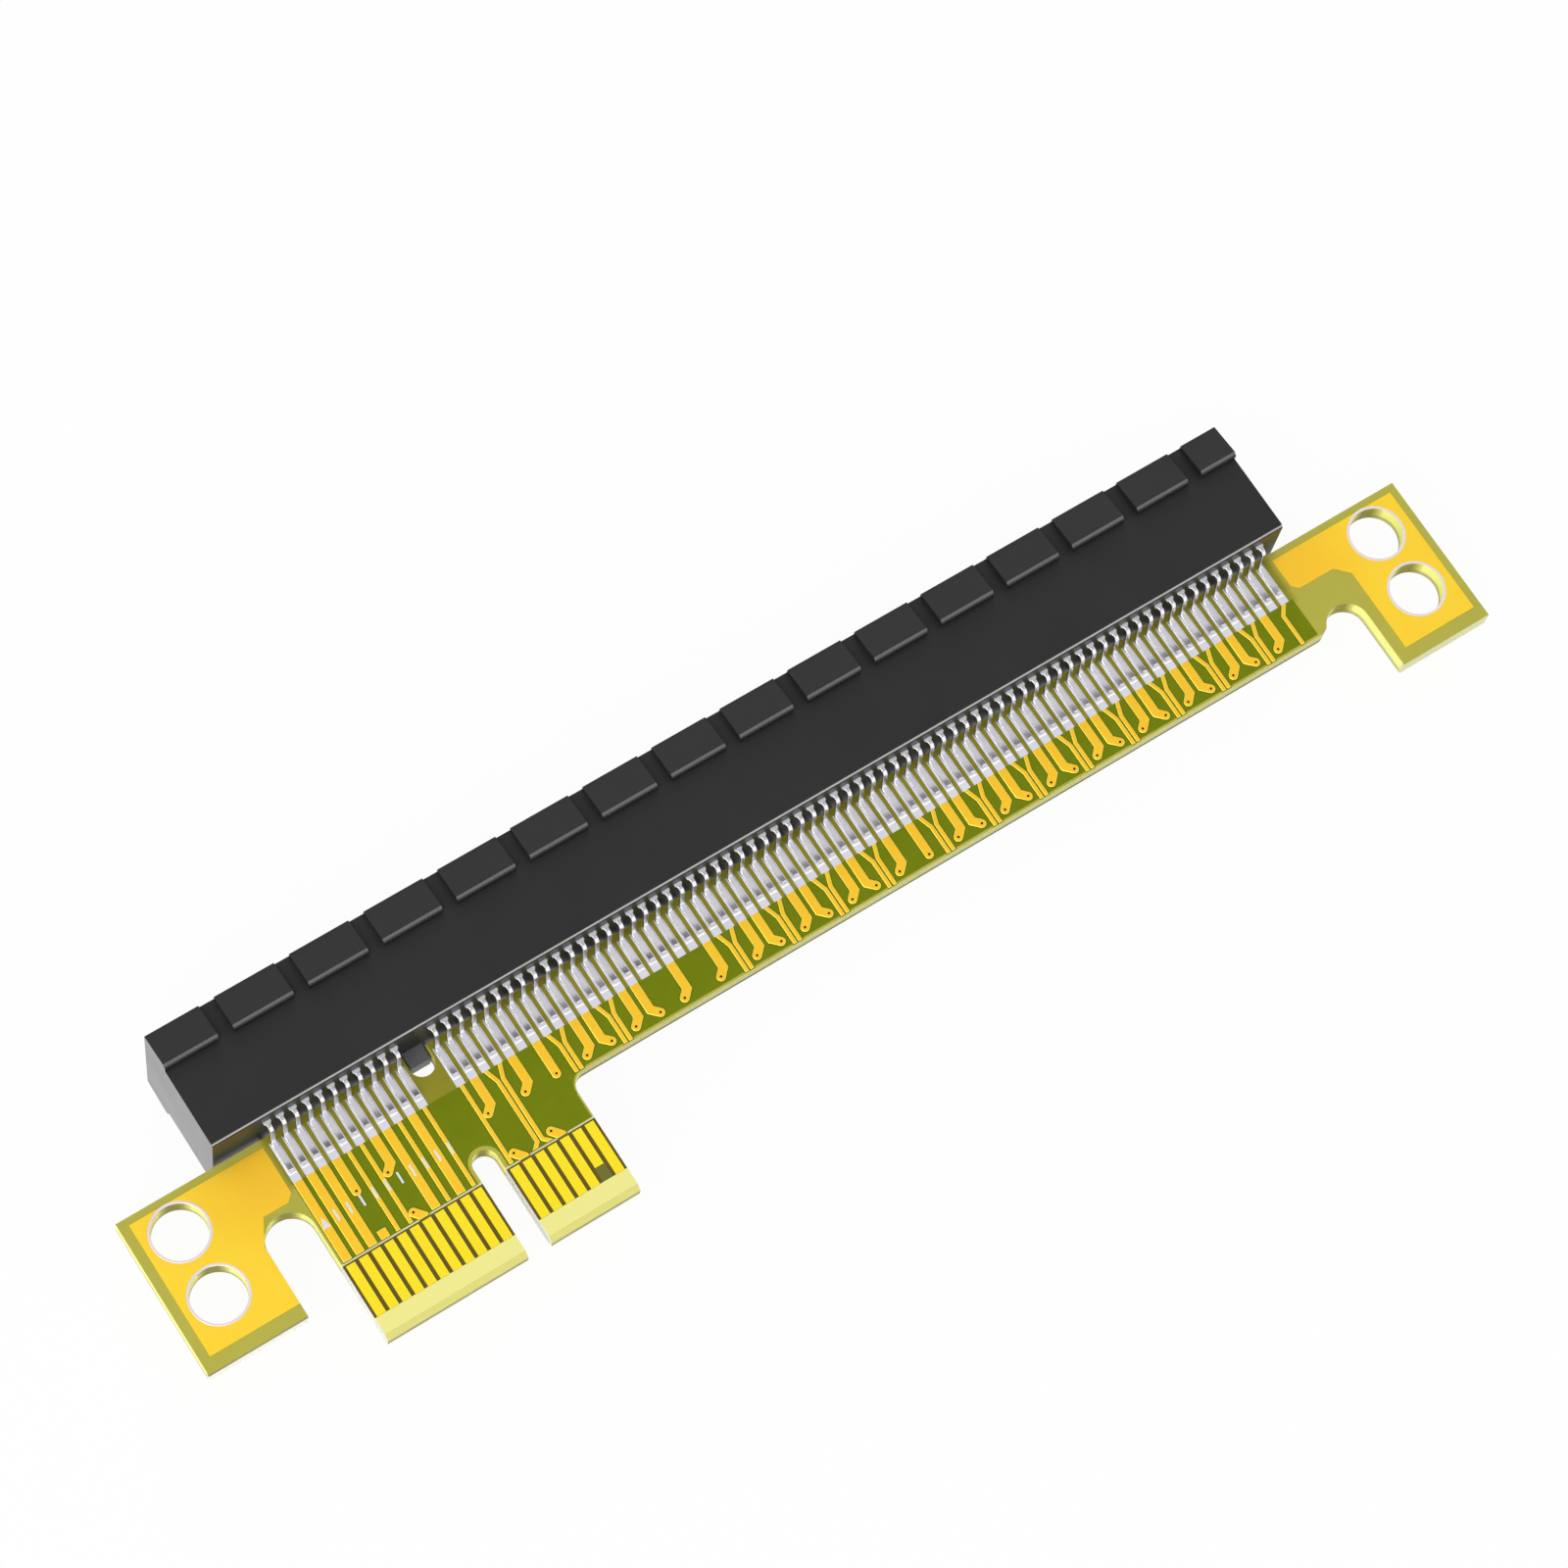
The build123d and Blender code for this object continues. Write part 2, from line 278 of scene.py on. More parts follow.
class Sheet:
    """A node tree being written, with short ways to add and join its nodes."""

    def __init__(self, tree: bpy.types.NodeTree) -> None:
        """Keep the tree that is written."""
        self.tree = tree

    def add(
        self, kind: str, inputs: dict | None = None, **settings: object
    ) -> bpy.types.Node:
        """Add a node, set it and join its inputs.

        Args:
            kind: The node's type.
            inputs: Socket names or numbers with a value or an output socket each.
            settings: Properties of the node.

        Returns:
            The new node.
        """
        node = self.tree.nodes.new(kind)
        for key, value in settings.items():
            setattr(node, key, value)
        for key, value in (inputs or {}).items():
            if isinstance(value, bpy.types.NodeSocket):
                self.join(value, node.inputs[key])
            else:
                node.inputs[key].default_value = value
        return node

    def math(
        self, operation: str, *values: object, clamp: bool = False
    ) -> bpy.types.NodeSocket:
        """Result of a sum on numbers or sockets.

        Args:
            operation: Name of the operation.
            values: Up to three numbers or output sockets.
            clamp: Whether the result is kept from 0 to 1.

        Returns:
            The result's socket.
        """
        inputs = dict(enumerate(values))
        node = self.add("ShaderNodeMath", inputs, operation=operation, use_clamp=clamp)
        return node.outputs[0]

    def vector(self, operation: str, *values: object) -> bpy.types.NodeSocket:
        """Result of a sum on vectors.

        Args:
            operation: Name of the operation.
            values: Up to three vectors or output sockets.

        Returns:
            The result's socket, a number for a dot product or a distance.
        """
        inputs = dict(enumerate(values))
        node = self.add("ShaderNodeVectorMath", inputs, operation=operation)
        is_number = operation in ("DOT_PRODUCT", "DISTANCE")
        return node.outputs["Value" if is_number else "Vector"]

    def split(self, vector: bpy.types.NodeSocket) -> bpy.types.NodeOutputs:
        """X, Y and Z of a vector."""
        return self.add("ShaderNodeSeparateXYZ", {0: vector}).outputs

    def blend(
        self, share: object, first: object, second: object
    ) -> bpy.types.NodeSocket:
        """Colour between two colours.

        Args:
            share: How much of the second, from 0 to 1.
            first: Colour or socket at 0.
            second: Colour or socket at 1.

        Returns:
            The mixed colour's socket.
        """
        inputs = {0: share, 6: first, 7: second}
        node = self.add("ShaderNodeMix", inputs, data_type="RGBA")
        return node.outputs[2]

    def join(self, output: bpy.types.NodeSocket, goal: bpy.types.NodeSocket) -> None:
        """Join an output to the input that it feeds."""
        self.tree.links.new(output, goal)


class Effect(Enum):
    """Effects that several finishes share, each a node group that is built once."""

    DRAWING = "card_drawing"
    ZONE = "zone"
    MOTTLE = "mottle"
    WEAVE = "glass_weave"
    SLOPE = "slope"


NUMBER, VECTOR = "NodeSocketFloat", "NodeSocketVector"


def open_group(
    effect: Effect, inputs: dict[str, str], outputs: dict[str, str]
) -> tuple[Sheet, bpy.types.Node, bpy.types.Node]:
    """Start a node group with named inputs and outputs.

    Args:
        effect: The effect that it makes.
        inputs: Name and socket type of each input.
        outputs: Name and socket type of each output.

    Returns:
        The sheet to write on, the group's input node and its output node.
    """
    tree = bpy.data.node_groups.new(effect.value, "ShaderNodeTree")
    for name, kind in inputs.items():
        tree.interface.new_socket(name=name, in_out="INPUT", socket_type=kind)
    for name, kind in outputs.items():
        tree.interface.new_socket(name=name, in_out="OUTPUT", socket_type=kind)
    sheet = Sheet(tree)
    return sheet, sheet.add("NodeGroupInput"), sheet.add("NodeGroupOutput")


def build_drawing() -> None:
    """Group that gives a surface point in the card's own drawing, in millimetres."""
    sheet, _, end = open_group(Effect.DRAWING, {}, {"Place": VECTOR})
    point = sheet.add("ShaderNodeTexCoord").outputs["Object"]
    scaled = sheet.vector("MULTIPLY", point, (1 / MILLIMETRE,) * 3)
    place = sheet.vector("SUBTRACT", scaled, tuple(CARD_ORIGIN))
    sheet.join(place, end.inputs["Place"])


def build_zone() -> None:
    """Group that marks a box of the drawing, whose sides fade over a softness."""
    inputs = {"Place": VECTOR, "Low": VECTOR, "High": VECTOR, "Softness": NUMBER}
    sheet, start, end = open_group(Effect.ZONE, inputs, {"Mask": NUMBER})
    masks = []
    for first, second in (("Place", "Low"), ("High", "Place")):
        depth = sheet.vector("SUBTRACT", start.outputs[first], start.outputs[second])
        for part in sheet.split(depth):
            share = sheet.math("DIVIDE", part, start.outputs["Softness"])
            masks.append(sheet.math("ADD", share, 0.5, clamp=True))
    mask = masks[0]
    for other in masks[1:]:
        mask = sheet.math("MULTIPLY", mask, other)
    sheet.join(mask, end.inputs["Mask"])


def build_mottle() -> None:
    """Group that gives broad patches and fine grain, both from 0 to 1."""
    inputs = {"Place": VECTOR, "Patch size": NUMBER, "Grain size": NUMBER}
    outputs = {"Patches": NUMBER, "Grain": NUMBER}
    sheet, start, end = open_group(Effect.MOTTLE, inputs, outputs)
    contrast, middle, octave_share = 2.2, 0.5, 0.55
    offset = middle - contrast * middle
    layers = (("Patches", "Patch size", 3.0), ("Grain", "Grain size", 2.0))
    for output, size, detail in layers:
        noise = sheet.add(
            "ShaderNodeTexNoise",
            {
                "Vector": start.outputs["Place"],
                "Scale": sheet.math("DIVIDE", 1.0, start.outputs[size]),
                "Detail": detail,
                "Roughness": octave_share,
            },
        )
        share = noise.outputs[0]
        spread = sheet.math("MULTIPLY_ADD", share, contrast, offset, clamp=True)
        sheet.join(spread, end.inputs[output])


def build_weave() -> None:
    """Group that gives the height of glass cloth showing through lacquer."""
    inputs = {"Place": VECTOR, "Pitch": NUMBER}
    sheet, start, end = open_group(Effect.WEAVE, inputs, {"Height": NUMBER})
    turn = sheet.math("DIVIDE", 2 * math.pi, start.outputs["Pitch"])
    x, y, _ = sheet.split(start.outputs["Place"])
    across = sheet.math("SINE", sheet.math("MULTIPLY", x, turn))
    along = sheet.math("SINE", sheet.math("MULTIPLY", y, turn))
    product = sheet.math("MULTIPLY", across, along)
    crossing = sheet.math("MULTIPLY_ADD", product, 0.5, 0.5)
    sheet.join(crossing, end.inputs["Height"])


def build_slope() -> None:
    """Group that tells flat faces from upright ones, and which way those look."""
    facing = 0.9
    rim_tilt, rim_reach = 0.62, 0.3
    down_the_card = (-0.3, -0.954, 0)
    lean_gain, lean_start = 5.5, 0.8
    names = ("Upright", "Rim", "To the end", "To the tail", "Down the card")
    sheet, _, end = open_group(Effect.SLOPE, {}, dict.fromkeys(names, NUMBER))
    normal = sheet.add("ShaderNodeTexCoord").outputs["Normal"]
    x, y, z = sheet.split(normal)
    flat = sheet.math("ABSOLUTE", z)
    lean = sheet.vector("DOT_PRODUCT", normal, down_the_card)
    offset = -lean_gain * lean_start
    results = (
        sheet.math("SUBTRACT", 1.0, flat, clamp=True),
        sheet.math("COMPARE", flat, rim_tilt, rim_reach),
        sheet.math("GREATER_THAN", sheet.math("ABSOLUTE", x), facing),
        sheet.math("LESS_THAN", y, -facing),
        sheet.math("MULTIPLY_ADD", lean, lean_gain, offset, clamp=True),
    )
    for name, result in zip(names, results):
        sheet.join(result, end.inputs[name])


def build_effects() -> None:
    """Build every shared effect once."""
    for build in (build_drawing, build_zone, build_mottle, build_weave, build_slope):
        build()


# Finishes


@dataclass(frozen=True)
class Box:
    """Box of the drawing, in millimetres, that a finish treats apart."""

    low: tuple[float, float, float]
    high: tuple[float, float, float]
    softness: float = 0.02
    both_faces: bool = False


class Dresser:
    """Writes one material: its shader, its shared effects and its surface relief."""

    def __init__(self, name: str, **sockets: object) -> None:
        """Start the material.

        Args:
            name: Name of the material.
            sockets: Values of the shader's own sockets, with _ for a space in a name.
        """
        self.material = bpy.data.materials.new(name)
        self.material.use_nodes = True
        self.sheet = Sheet(self.material.node_tree)
        self.shader = self.material.node_tree.nodes["Principled BSDF"]
        for key, value in sockets.items():
            self.shader.inputs[key.replace("_", " ")].default_value = value
        self.place = self.effect(Effect.DRAWING).outputs["Place"]

    def effect(self, effect: Effect, **inputs: object) -> bpy.types.Node:
        """Place a shared effect.

        Args:
            effect: The effect.
            inputs: Its values, with _ for a space in their names.

        Returns:
            The group's node.
        """
        named = {key.replace("_", " "): value for key, value in inputs.items()}
        group = bpy.data.node_groups[effect.value]
        return self.sheet.add("ShaderNodeGroup", named, node_tree=group)

    def zone(self, box: Box) -> bpy.types.NodeSocket:
        """Mask of a box of the drawing.

        Args:
            box: The box.

        Returns:
            The mask's socket, 1 inside the box.
        """
        place = self.place
        if box.both_faces:
            place = self.sheet.vector("ABSOLUTE", place)
        node = self.effect(
            Effect.ZONE, Place=place, Low=box.low, High=box.high, Softness=box.softness
        )
        return node.outputs["Mask"]

    def mottle(
        self, place: bpy.types.NodeSocket, patch_size: float, grain_size: float
    ) -> tuple[bpy.types.NodeSocket, bpy.types.NodeSocket]:
        """Broad patches and fine grain, both from 0 to 1.

        Args:
            place: Socket of the point in the drawing.
            patch_size: Size of the patches in millimetres.
            grain_size: Size of the grain in millimetres.

        Returns:
            The patches' socket and the grain's socket.
        """
        node = self.effect(
            Effect.MOTTLE, Place=place, Patch_size=patch_size, Grain_size=grain_size
        )
        return node.outputs["Patches"], node.outputs["Grain"]

    def weave(self) -> bpy.types.NodeSocket:
        """Height of the glass cloth, from 0 to 1."""
        node = self.effect(Effect.WEAVE, Place=self.place, Pitch=GLASS_PITCH)
        return node.outputs["Height"]

    def paint(self, colour: object, *coats: tuple[Box, object]) -> bpy.types.NodeSocket:
        """Lay other colours over a colour, one after the other.

        Args:
            colour: Colour or socket that lies below.
            coats: Boxes of the drawing, each with its colour or socket.

        Returns:
            The resulting colour's socket.
        """
        for box, coat in coats:
            colour = self.sheet.blend(self.zone(box), colour, coat)
        return colour

    def feed(self, socket: bpy.types.NodeSocket, name: str) -> None:
        """Join a value that changes over the surface to the shader."""
        self.sheet.join(socket, self.shader.inputs[name])

    def vary(
        self, name: str, share: bpy.types.NodeSocket, spread: float, start: float
    ) -> None:
        """Let a value of the shader follow a share.

        Args:
            name: Name of the shader's socket.
            share: Socket of the share, from 0 to 1.
            spread: What the full share adds.
            start: Value where the share is 0.
        """
        self.feed(self.sheet.math("MULTIPLY_ADD", share, spread, start), name)

    def relief(
        self, height: bpy.types.NodeSocket, depth: float, strength: float = 1.0
    ) -> None:
        """Give the surface a fine relief.

        Args:
            height: Socket of the height, from 0 to 1.
            depth: Height of the relief in millimetres.
            strength: How strongly it shows.
        """
        distance = depth * MILLIMETRE
        inputs = {"Height": height, "Distance": distance, "Strength": strength}
        bump = self.sheet.add("ShaderNodeBump", inputs)
        self.feed(bump.outputs["Normal"], "Normal")


@dataclass(frozen=True)
class Metal:
    """Plated or lacquered metal: patches, rims lightened by a painted highlight,
    brushing, and a less metallic part whose colour also takes the rim's painted
    highlight.
    """

    name: str
    base: Colour
    patch: Colour
    # Painted highlight: colour of the sloped rim faces
    rim: Colour
    metallic: float
    roughness: float
    roughness_spread: float = 0.12
    patch_size: float = 2.5
    grain_size: float = 0.12
    brush: tuple[float, float, float] = (1.0, 0.12, 1.0)
    relief: float = 0.0015
    specular: float = 0.5
    # Box made less metallic whose colour also takes the rim tone, painted light on the
    # contacts' crossbars
    matt: Box | None = None
    matt_share: float = 0.75

    def make(self) -> bpy.types.Material:
        """Write the material.

        Returns:
            The material.
        """
        work = Dresser(
            self.name, Metallic=self.metallic, Specular_IOR_Level=self.specular
        )
        sheet = work.sheet
        brushed = sheet.vector("MULTIPLY", work.place, self.brush)
        patches, _ = work.mottle(work.place, self.patch_size, self.grain_size)
        _, brushing = work.mottle(brushed, self.grain_size, self.grain_size / 2)
        colour = sheet.blend(patches, self.base, self.patch)
        # Painted highlight on the sloped rim faces
        rim = work.effect(Effect.SLOPE).outputs["Rim"]
        # Less metallic in the box, and painted light there with the rim's tone
        if self.matt:
            mask = work.zone(self.matt)
            work.vary("Metallic", mask, -self.matt_share, self.metallic)
            rim = sheet.math("MAXIMUM", rim, mask)
        work.feed(sheet.blend(rim, colour, self.rim), "Base Color")
        work.vary("Roughness", patches, self.roughness_spread, self.roughness)
        work.relief(brushing, self.relief)
        return work.material


@dataclass(frozen=True)
class EarCopper:
    """Copper under clear lacquer, with painted shade that makes it darker and more
    orange towards the socket.
    """

    name: str = "ear_copper"
    base: Colour = tone(255, 216, 57)
    patch: Colour = tone(253, 210, 51)
    patch_size: float = 3.0
    grain_size: float = 0.2
    # Painted shade: a darker, more orange tone at the ends of the ears beside the
    # socket
    warm: Colour = tone(252, 192, 48)
    warm_share: float = 0.8
    warm_ends: tuple[Box, Box] = (
        Box((-16.5, 11.0, -2), (-8.0, 22.0, 2), 4.0),
        Box((68.0, 11.0, -2), (77.0, 22.0, 2), 4.0),
    )
    metallic: float = 0.35
    specular: float = 0.2
    roughness: float = 0.34
    roughness_spread: float = 0.1
    relief: float = 0.002

    def make(self) -> bpy.types.Material:
        """Write the material.

        Returns:
            The material.
        """
        work = Dresser(
            self.name, Metallic=self.metallic, Specular_IOR_Level=self.specular
        )
        sheet = work.sheet
        patches, grain = work.mottle(work.place, self.patch_size, self.grain_size)
        colour = sheet.blend(patches, self.base, self.patch)
        # Painted shade towards the socket
        left, right = (work.zone(box) for box in self.warm_ends)
        warm_shade_mask = sheet.math("ADD", left, right, clamp=True)
        share = sheet.math("MULTIPLY", warm_shade_mask, self.warm_share)
        work.feed(sheet.blend(share, colour, self.warm), "Base Color")
        work.vary("Roughness", grain, self.roughness_spread, self.roughness)
        work.relief(work.weave(), self.relief)
        return work.material


@dataclass(frozen=True)
class Laminate:
    """Glass laminate under olive lacquer, with pale cut sides and a bare tongue."""

    name: str = "laminate"
    lacquer: Colour = tone(188, 182, 78)
    lacquer_patch: Colour = tone(182, 177, 72)
    patch_size: float = 3.5
    grain_size: float = 0.08
    specular: float = 0.15
    roughness: float = 0.42
    roughness_spread: float = 0.12
    relief: float = 0.002
    grain_relief: float = 0.4
    # Painted shade: a darker row between the pads and under the socket
    row: Colour = tone(143, 137, 36)
    row_middle: Colour = tone(158, 152, 48)
    pad_row: Box = Box((-12.2, 12.4, -2), (72.4, 20.0, 2), 0.5)
    # Tongue: gaps between the fingers, the patch under the short finger, the line above
    # the fingers and the bare band at the end
    tongue_coats: tuple[tuple[Box, Colour], ...] = (
        (Box((-12.1, 1.0, -2), (8.1, 5.93, 2)), tone(98, 86, 35)),
        (Box((6.1, 1.0, 0), (6.9, 2.9, 2)), tone(112, 112, 50)),
        (Box((-12.1, 5.93, -2), (8.1, 6.06, 2)), tone(226, 220, 176)),
        (Box((-12.1, -1.0, -2), (8.1, 1.74, 2)), tone(245, 240, 148)),
    )
    # The ground field's colour in the board's inner corner beside the tongue
    dark_field: Colour = tone(118, 132, 5)
    corner: tuple[float, float, float] = (9.35, 8.0, 0.0)
    corner_reach: float = 1.4
    corner_box: Box = Box((7.9, 7.95, -2), (9.4, 9.42, 2))
    # Cut sides, with painted shade low on the walls and on the round walls that look
    # down the card
    bevel: Colour = tone(224, 219, 126)
    upright_from: float = 0.6
    wall: Colour = tone(255, 255, 148)
    # Painted shade on the lower part of the cut sides
    wall_foot: tuple[Box, Colour] = (
        Box((-30, -5, -1.0), (90, 30, -0.35), 0.25),
        tone(198, 196, 132),
    )
    # Painted shade on the round walls of the holes and the key slot that look down the
    # card
    round_wall: Colour = tone(140, 136, 34)
    round_boxes: tuple[Box, ...] = (
        Box((-30, 6.0, -2), (-8.0, 16.2, 2)),
        Box((-1.2, 6.5, -2), (1.2, 9.0, 2)),
        Box((72.9, 6.0, -2), (90, 16.2, 2)),
    )
    # Painted light and shade on the sides of the tongue, the tongue's end, the strip
    # and the ears
    wall_coats: tuple[tuple[Box, Colour], ...] = (
        (Box((-12.4, -1, -2), (8.4, 5.95, 2)), tone(234, 234, 226)),
        (Box((-12.4, -1, -2), (8.4, 0.05, 2)), tone(168, 163, 112)),
        (Box((8.9, 9.0, -2), (73.3, 9.5, 2), 0.3), tone(206, 203, 126)),
        (Box((8.9, 9.0, -2), (73.3, 9.5, -0.36), 0.1), tone(112, 108, 72)),
        (Box((-25, 3.9, -2), (-12.2, 4.4, 2), 0.3), tone(128, 122, 66)),
        (Box((-25, 3.9, -2), (-12.2, 4.4, 0.35), 0.4), tone(255, 255, 244)),
        (Box((76, 3.9, -2), (86, 4.4, 2), 0.3), tone(226, 225, 174)),
    )

    def face_colour(
        self, work: Dresser, patches: bpy.types.NodeSocket
    ) -> bpy.types.NodeSocket:
        """Colour of the broad faces.

        Args:
            work: The material that is written.
            patches: Socket of the broad patches.

        Returns:
            The colour's socket.
        """
        sheet = work.sheet
        colour = sheet.blend(patches, self.lacquer, self.lacquer_patch)
        # Painted shade between the pads
        row = sheet.blend(patches, self.row, self.row_middle)
        colour = work.paint(colour, (self.pad_row, row), *self.tongue_coats)
        around = sheet.vector("MULTIPLY", work.place, (1, 1, 0))
        reach = sheet.vector("DISTANCE", around, self.corner)
        beyond = sheet.math("GREATER_THAN", reach, self.corner_reach)
        beside = sheet.math("MULTIPLY", beyond, work.zone(self.corner_box))
        return sheet.blend(beside, colour, self.dark_field)

    def side_colour(
        self, work: Dresser, down_the_card: bpy.types.NodeSocket
    ) -> bpy.types.NodeSocket:
        """Colour of the cut sides, with painted light and shade laid over them by
        region.

        Args:
            work: The material that is written.
            down_the_card: Mask of the sides that look down the card.

        Returns:
            The colour's socket.
        """
        sheet = work.sheet
        holes, *others = (work.zone(box) for box in self.round_boxes)
        for other in others:
            holes = sheet.math("ADD", holes, other, clamp=True)
        # Painted shade on the round walls that look down the card
        inner = sheet.math("MULTIPLY", holes, down_the_card)
        # Painted shade low on the cut sides
        wall = work.paint(self.wall, self.wall_foot)
        # Painted light and shade on the sides of the tongue, the strip and the ears
        return work.paint(sheet.blend(inner, wall, self.round_wall), *self.wall_coats)

    def make(self) -> bpy.types.Material:
        """Write the material.

        Returns:
            The material.
        """
        work = Dresser(self.name, Specular_IOR_Level=self.specular)
        sheet = work.sheet
        patches, grain = work.mottle(work.place, self.patch_size, self.grain_size)
        slope = work.effect(Effect.SLOPE).outputs
        face = sheet.blend(slope["Rim"], self.face_colour(work, patches), self.bevel)
        side = self.side_colour(work, slope["Down the card"])
        upright = sheet.math("GREATER_THAN", slope["Upright"], self.upright_from)
        work.feed(sheet.blend(upright, face, side), "Base Color")
        work.vary("Roughness", patches, self.roughness_spread, self.roughness)
        height = sheet.math("MULTIPLY_ADD", grain, self.grain_relief, work.weave())
        work.relief(height, self.relief)
        return work.material


@dataclass(frozen=True)
class Lacquer:
    """Coloured lacquer or print over the laminate, with the cloth showing faintly; the
    same recipe makes the painted shade round the traces and the painted shadow in the
    vias.
    """

    name: str
    base: Colour
    patch: Colour
    roughness: float
    specular: float
    weave_depth: float
    roughness_spread: float = 0.1
    patch_size: float = 2.0
    grain_size: float = 0.1
    grain_relief: float = 0.3

    def make(self) -> bpy.types.Material:
        """Write the material.

        Returns:
            The material.
        """
        work = Dresser(self.name, Specular_IOR_Level=self.specular)
        sheet = work.sheet
        patches, grain = work.mottle(work.place, self.patch_size, self.grain_size)
        work.feed(sheet.blend(patches, self.base, self.patch), "Base Color")
        work.vary("Roughness", patches, self.roughness_spread, self.roughness)
        height = sheet.math("MULTIPLY_ADD", grain, self.grain_relief, work.weave())
        work.relief(height, self.weave_depth)
        return work.material


@dataclass(frozen=True)
class SocketPlastic:
    """Black moulded plastic: dull top, polished tail and ends, a painted highlight on
    the lands' edges and the tail's chamfer, and painted light on the tab.
    """

    name: str = "socket_plastic"
    base: Colour = tone(34, 34, 34)
    patch: Colour = tone(30, 30, 30)
    patch_size: float = 6.0
    grain_size: float = 0.06
    specular: float = 0.25
    roughness: float = 0.5
    roughness_spread: float = 0.08
    polished: float = 0.3
    coat_roughness: float = 0.28
    coat_ior: float = 1.6
    end_gloss: float = 0.64
    tail_gloss: float = 0.1
    relief: float = 0.004
    relief_strength: float = 0.35
    # Painted light: the tab is toned lighter than the rest of the plastic
    tab: Colour = tone(94, 94, 97)
    tab_box: Box = Box((-0.9, 15.2, -0.7), (0.9, 16.69, 0.7))
    land: Colour = tone(38, 38, 38)
    land_top: Box = Box((0, 20, 5.0), (90, 30, 6), 0.1, both_faces=True)
    # Painted highlight along the upper edge of the lands' bevels
    rubbed: Colour = tone(150, 150, 150)
    rub: float = 0.42
    land_edge: Box = Box((0, 20, 5.2), (90, 30, 5.4), 0.08, both_faces=True)
    # Painted highlight: a thin light line on the chamfer between the top and the tail
    tail_line: Colour = tone(180, 180, 180)
    tail_edge: Box = Box((0, 16.6, 4.39), (90, 17.1, 4.49), 0.03, both_faces=True)

    def make(self) -> bpy.types.Material:
        """Write the material.

        Returns:
            The material.
        """
        work = Dresser(
            self.name,
            Specular_IOR_Level=self.specular,
            Coat_Roughness=self.coat_roughness,
            Coat_IOR=self.coat_ior,
        )
        sheet = work.sheet
        patches, grain = work.mottle(work.place, self.patch_size, self.grain_size)
        slope = work.effect(Effect.SLOPE).outputs
        rim, end, tail = (slope[name] for name in ("Rim", "To the end", "To the tail"))
        # Painted light on the tab, which also loses the coat's gloss
        tab = work.zone(self.tab_box)
        colour = sheet.blend(patches, self.base, self.patch)
        colour = sheet.blend(tab, colour, self.tab)
        colour = work.paint(colour, (self.land_top, self.land))
        # Painted highlight on the sloped faces at the lands' edges
        land_glint = sheet.math("MULTIPLY", rim, self.rub)
        land_glint = sheet.math("MULTIPLY", land_glint, work.zone(self.land_edge))
        colour = sheet.blend(land_glint, colour, self.rubbed)
        # Painted highlight along the tail's chamfer
        line = sheet.math("MULTIPLY", work.zone(self.tail_edge), rim)
        work.feed(sheet.blend(line, colour, self.tail_line), "Base Color")
        tail_shine = sheet.math("MULTIPLY", tail, self.tail_gloss)
        shine = sheet.math("MULTIPLY_ADD", end, self.end_gloss, tail_shine)
        work.feed(sheet.math("SUBTRACT", shine, tab, clamp=True), "Coat Weight")
        gloss = sheet.math("ADD", end, tail, clamp=True)
        drop = sheet.math("MULTIPLY", gloss, self.roughness - self.polished)
        rough = sheet.math(
            "MULTIPLY_ADD", patches, self.roughness_spread, self.roughness
        )
        work.feed(sheet.math("SUBTRACT", rough, drop), "Roughness")
        work.relief(grain, self.relief, self.relief_strength)
        return work.material


# Every finish of the card
RECIPES = (
    Laminate(),
    EarCopper(),
    SocketPlastic(),
    Lacquer(
        "field_lacquer",
        base=tone(118, 132, 5),
        patch=tone(113, 127, 4),
        roughness=0.45,
        specular=0.12,
        weave_depth=0.0015,
    ),
    # Painted shade: the dark outline round each trace
    Lacquer(
        "trace_outline",
        base=tone(84, 92, 8),
        patch=tone(76, 84, 6),
        roughness=0.5,
        specular=0.12,
        weave_depth=0.001,
    ),
    Lacquer(
        "via_shadow",
        base=tone(46, 26, 8),
        patch=tone(34, 18, 4),
        roughness=0.6,
        specular=0.2,
        weave_depth=0.001,
    ),
    Lacquer(
        "white_print",
        base=tone(240, 240, 236),
        patch=tone(226, 228, 220),
        roughness=0.55,
        specular=0.3,
        weave_depth=0.002,
    ),
    Metal(
        "trace_copper",
        base=tone(255, 205, 50),
        patch=tone(252, 199, 44),
        rim=tone(255, 236, 84),
        metallic=0.35,
        roughness=0.36,
        relief=0.0006,
        specular=0.25,
    ),
    Metal(
        "finger_gold",
        base=tone(254, 231, 40),
        patch=tone(252, 225, 36),
        rim=tone(255, 240, 100),
        metallic=0.5,
        roughness=0.26,
        relief=0.0008,
        specular=0.25,
    ),
    Metal(
        "pad_tin",
        base=tone(226, 226, 234),
        patch=tone(214, 214, 224),
        rim=tone(250, 250, 252),
        metallic=0.6,
        roughness=0.28,
    ),
    Metal(
        "contact_tin",
        base=tone(208, 208, 214),
        patch=tone(198, 198, 205),
        rim=tone(238, 238, 243),
        metallic=1.0,
        roughness=0.2,
        # Painted light on the crossbars of the contact heads inside the socket, which
        # are also less metallic there
        matt=Box((0, 16.44, 3.0), (90, 17.2, 3.5), 0.08, both_faces=True),
    ),
    Metal(
        "solder",
        base=tone(226, 226, 232),
        patch=tone(206, 206, 214),
        rim=tone(244, 244, 248),
        metallic=0.9,
        roughness=0.3,
        patch_size=0.4,
    ),
    Metal(
        "rim_tin",
        base=tone(234, 222, 222),
        patch=tone(224, 214, 212),
        rim=tone(244, 236, 234),
        metallic=0.6,
        roughness=0.3,
    ),
)


